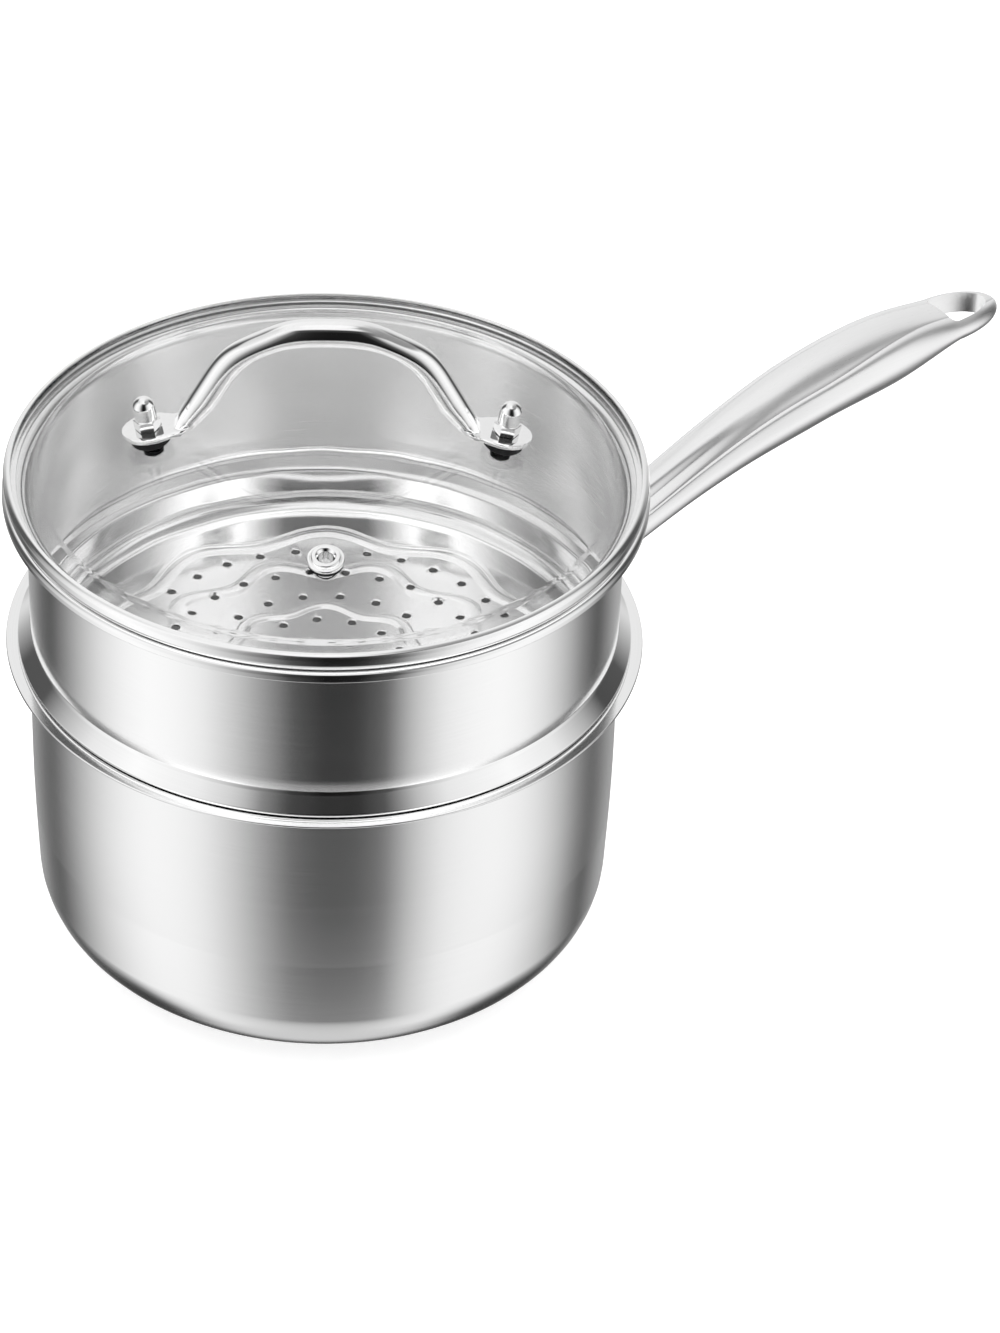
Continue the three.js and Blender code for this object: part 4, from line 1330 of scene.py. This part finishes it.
# Brightness round the studio, by the angle from the camera towards the picture's right, in degrees: a dark
# opening in front, white screens at both sides, grey gaps behind them
LOW_SCREENS = (
    (-180, 0.03), (-110, 0.03), (-97, 0.12), (-84, 0.6), (-60, 1.0), (-40, 0.85), (-18, 0.7), (0, 0.66),
    (18, 0.68), (40, 0.85), (60, 1.0), (84, 0.6), (97, 0.12), (110, 0.03), (180, 0.03),
)
WALL_SCREENS = (
    (-180, 0.2), (-170, 0.45), (-156, 0.36), (-144, 0.16), (-132, 0.08), (-120, 0.28), (-108, 0.57),
    (-96, 0.86), (-84, 1.06), (-72, 1.15), (-60, 1.1), (-48, 0.98), (-36, 0.7), (-24, 0.36), (-12, 0.07),
    (0, 0.01), (12, 0.015), (24, 0.1), (36, 0.62), (48, 0.95), (60, 1.07), (72, 1.12), (84, 1.05),
    (96, 0.85), (108, 0.56), (120, 0.22), (132, 0.07), (144, 0.27), (156, 0.43), (170, 0.45), (180, 0.2),
)
EYE_SCREENS = (
    (-180, 0.95), (-150, 0.9), (-140, 0.45), (-130, 0.1), (-114, 0.1), (-104, 0.5), (-90, 0.95), (-72, 1.15),
    (-48, 0.98), (-36, 0.72), (-24, 0.3), (-12, 0.05), (0, 0.01), (12, 0.015), (24, 0.1), (36, 0.65),
    (48, 0.95), (72, 1.12), (90, 0.95), (104, 0.5), (114, 0.08), (128, 0.1), (138, 0.45), (150, 0.85),
    (180, 0.95),
)
HIGH_SCREENS = (
    (-180, 1.0), (-140, 1.05), (-110, 0.8), (-80, 0.9), (-55, 1.1), (-40, 0.95), (-32, 0.75), (-24, 0.25),
    (-15, 0.08), (0, 0.05), (15, 0.05), (24, 0.1), (40, 0.25), (55, 0.3), (70, 0.3), (110, 0.35), (135, 0.6),
    (160, 0.9), (180, 1.0),
)
ROOF_SCREENS = (
    (-180, 1.0), (-60, 1.0), (0, 1.1), (25, 1.0), (45, 0.5), (65, 0.35), (110, 0.45), (150, 0.9), (180, 1.0),
)
FLOOR_GREY = 0.7
TOP_GREY = 1.1
# The studio from below upwards: over which height, in degrees, each light takes over from the one below it
STUDIO = (
    (-80, -64, LOW_SCREENS), (-58, -41, WALL_SCREENS), (-22, -10, EYE_SCREENS), (37, 45, HIGH_SCREENS),
    (54, 64, ROOF_SCREENS), (76, 84, TOP_GREY),
)
# What the metal mirrors of itself, as between the walls of the insert: more even light, with the dark opening
# only about as high as the camera
EVEN_SCREENS = (
    (-180, 1.2), (-100, 1.35), (-60, 1.7), (-40, 2.1), (-22, 2.1), (-9, 1.8), (9, 1.8), (22, 2.1), (40, 2.1),
    (60, 1.7), (100, 1.35), (180, 1.2),
)
EVEN_OPENING = (
    (-180, 0.9), (-160, 0.5), (-145, 0.08), (-95, 0.08), (-78, 0.5), (-58, 1.7), (-36, 2.0), (-25, 0.7),
    (-17, 0.03), (0, 0.0), (17, 0.03), (25, 0.7), (36, 2.0), (58, 1.7), (78, 0.5), (95, 0.08), (145, 0.08),
    (160, 0.5), (180, 0.9),
)
EVEN_TOP = 1.3
EVEN_STUDIO = ((22, 30, EVEN_OPENING), (42, 50, EVEN_SCREENS), (58, 66, EVEN_TOP))
# How much of it the second mirroring shows, and the grey that the light fades to over its last mirrorings
EVEN_SHARE = 0.85
DEEP_GREY = 0.5
DEEP_FROM = 5.0
DEEP_TO = 8.0
# What the camera and the paper see
PAPER_LIGHT = 1.25


class SAUCEPAN_OT_stage(Piece, bpy.types.Operator):
    """Set the paper floor, the soft studio light and the camera"""

    bl_idname = "saucepan.stage"
    bl_label = "Stage"

    def floor(self):
        clear_selection()
        bpy.ops.mesh.primitive_circle_add(vertices=96, radius=FLOOR_RADIUS, fill_type="NGON")
        made = name_new("stage_floor")
        edit(made)
        bpy.ops.mesh.inset(thickness=FLOOR_INSET)
        bpy.ops.object.mode_set(mode="OBJECT")
        made.data.materials.append(finish("stage_paper"))
        made.visible_glossy = False

    def light(self, scene):
        """A studio of white screens: the metal mirrors it, the paper gets even white light from it."""
        world = bpy.data.worlds.new("studio_screens")
        scene.world = world
        world.use_nodes = True
        world.cycles.sampling_method = "NONE"
        tree = world.node_tree
        tree.nodes.clear()
        direction = add(tree, "TexCoord", {}, {})["Generated"]
        facing = add(
            tree, "VectorRotate", {"rotation_type": "Z_AXIS"}, {"Vector": direction, "Angle": -CAMERA_AZIMUTH}
        )[0]
        parts = add(tree, "SeparateXYZ", {}, {0: facing})
        angle = add(tree, "Math", {"operation": "ARCTAN2"}, {0: parts["Y"], 1: parts["X"]})[0]
        around = add(tree, "MapRange", {}, {0: angle, 1: -math.pi, 2: math.pi})[0]

        def stacked(lights):
            """Lay lights over one another by their shares: greys, rings of screens or stacks."""
            result = None
            for share, light in lights:
                if isinstance(light, tuple):
                    stops = [((degrees + 180) / 360, grey) for degrees, grey in light]
                    light = add(tree, "ValToRGB", {"stops": stops}, {"Fac": around})[0]
                elif isinstance(light, float):
                    light = (light, light, light, 1.0)
                if result is not None:
                    light = add(tree, "Mix", {"data_type": "RGBA"}, {"Factor": share, 6: result, 7: light})[2]
                result = light
            return result

        def by_height(lowest, lights):
            """A stack in which each light takes over above a height."""
            layers = [(1.0, lowest)]
            for low, high, light in lights:
                ends = {1: math.sin(math.radians(low)), 2: math.sin(math.radians(high))}
                share = add(
                    tree, "MapRange", {"interpolation_type": "SMOOTHSTEP"}, {0: parts["Z"], **ends}
                )[0]
                layers.append((share, light))
            return stacked(layers)

        ray = add(tree, "LightPath", {}, {})
        depth = ray["Glossy Depth"]
        again = add(tree, "MapRange", {}, {0: depth, 1: 1.0, 2: 2.0, 3: 0.0, 4: EVEN_SHARE})[0]
        deep = add(tree, "MapRange", {}, {0: depth, 1: DEEP_FROM, 2: DEEP_TO})[0]
        plain = add(
            tree, "Math", {"operation": "MAXIMUM"}, {0: ray["Is Camera Ray"], 1: ray["Is Diffuse Ray"]}
        )[0]
        seen = stacked([
            (1.0, by_height(FLOOR_GREY, STUDIO)),
            (again, by_height(EVEN_SCREENS, EVEN_STUDIO)),
            (deep, DEEP_GREY),
            (plain, PAPER_LIGHT),
        ])
        background = add(tree, "Background", {}, {"Color": seen})
        add(tree, "OutputWorld", {}, {"Surface": background[0]})

    def camera(self, scene):
        lens = bpy.data.cameras.new("photo_view")
        lens.lens = CAMERA_LENS
        lens.sensor_width = CAMERA_SENSOR
        lens.clip_end = CAMERA_REACH
        made = bpy.data.objects.new("photo_view", lens)
        scene.collection.objects.link(made)
        flat = math.cos(CAMERA_ELEVATION)
        back = Vector((
            flat * math.cos(CAMERA_AZIMUTH), flat * math.sin(CAMERA_AZIMUTH), math.sin(CAMERA_ELEVATION)
        ))
        facing = back.to_track_quat("Z", "Y") @ Euler((0, 0, CAMERA_ROLL)).to_quaternion()
        focal = CAMERA_LENS * max(PICTURE) / CAMERA_SENSOR
        offset = Vector((AIM_AT[0] - PICTURE[0] / 2, PICTURE[1] / 2 - AIM_AT[1], -focal))
        made.rotation_mode = "QUATERNION"
        made.location = Vector((0, 0, AIM_LEVEL)) + back * CAMERA_DISTANCE
        made.rotation_quaternion = facing @ offset.rotation_difference(Vector((0, 0, -1)))
        scene.camera = made

    def execute(self, context):
        scene = context.scene
        self.floor()
        self.light(scene)
        self.camera(scene)
        scene.view_settings.view_transform = "Standard"
        scene.cycles.glossy_bounces = 8
        scene.cycles.transmission_bounces = 12
        return {"FINISHED"}


OPERATORS = (
    SAUCEPAN_OT_shell,
    SAUCEPAN_OT_base,
    SAUCEPAN_OT_handle,
    SAUCEPAN_OT_handle_joint,
    SAUCEPAN_OT_steamer,
    SAUCEPAN_OT_lid_glass,
    SAUCEPAN_OT_lid_band,
    SAUCEPAN_OT_lid_bar,
    SAUCEPAN_OT_lid_fastenings,
    SAUCEPAN_OT_lid_vent,
    SAUCEPAN_OT_stage,
)

GROUPS = {
    "saucepan_sizes": SaucepanSizes,
    "steamer_sizes": SteamerSizes,
    "lid_sizes": LidSizes,
    "saucepan_finishes": Finishes,
}


class SAUCEPAN_PT_pieces(bpy.types.Panel):
    """The saucepan's pieces, sizes and colours"""

    bl_idname = "SAUCEPAN_PT_pieces"
    bl_label = "Saucepan with steamer"
    bl_space_type = "VIEW_3D"
    bl_region_type = "UI"
    bl_category = "Saucepan"

    def draw(self, context):
        for operator in OPERATORS:
            self.layout.operator(operator.bl_idname)
        for group in GROUPS:
            box = self.layout.box()
            settings = getattr(context.scene, group)
            for prop in settings.bl_rna.properties:
                if prop.type == "FLOAT":
                    box.prop(settings, prop.identifier)


CLASSES = (*GROUPS.values(), *OPERATORS, SAUCEPAN_PT_pieces)


def register():
    for made in CLASSES:
        bpy.utils.register_class(made)
    for name, group in GROUPS.items():
        setattr(bpy.types.Scene, name, PointerProperty(type=group))


def unregister():
    for name in GROUPS:
        delattr(bpy.types.Scene, name)
    for made in reversed(CLASSES):
        bpy.utils.unregister_class(made)


def main():
    register()
    for operator in OPERATORS:
        group, name = operator.bl_idname.split(".")
        getattr(getattr(bpy.ops, group), name)()


if __name__ == "__main__":
    main()
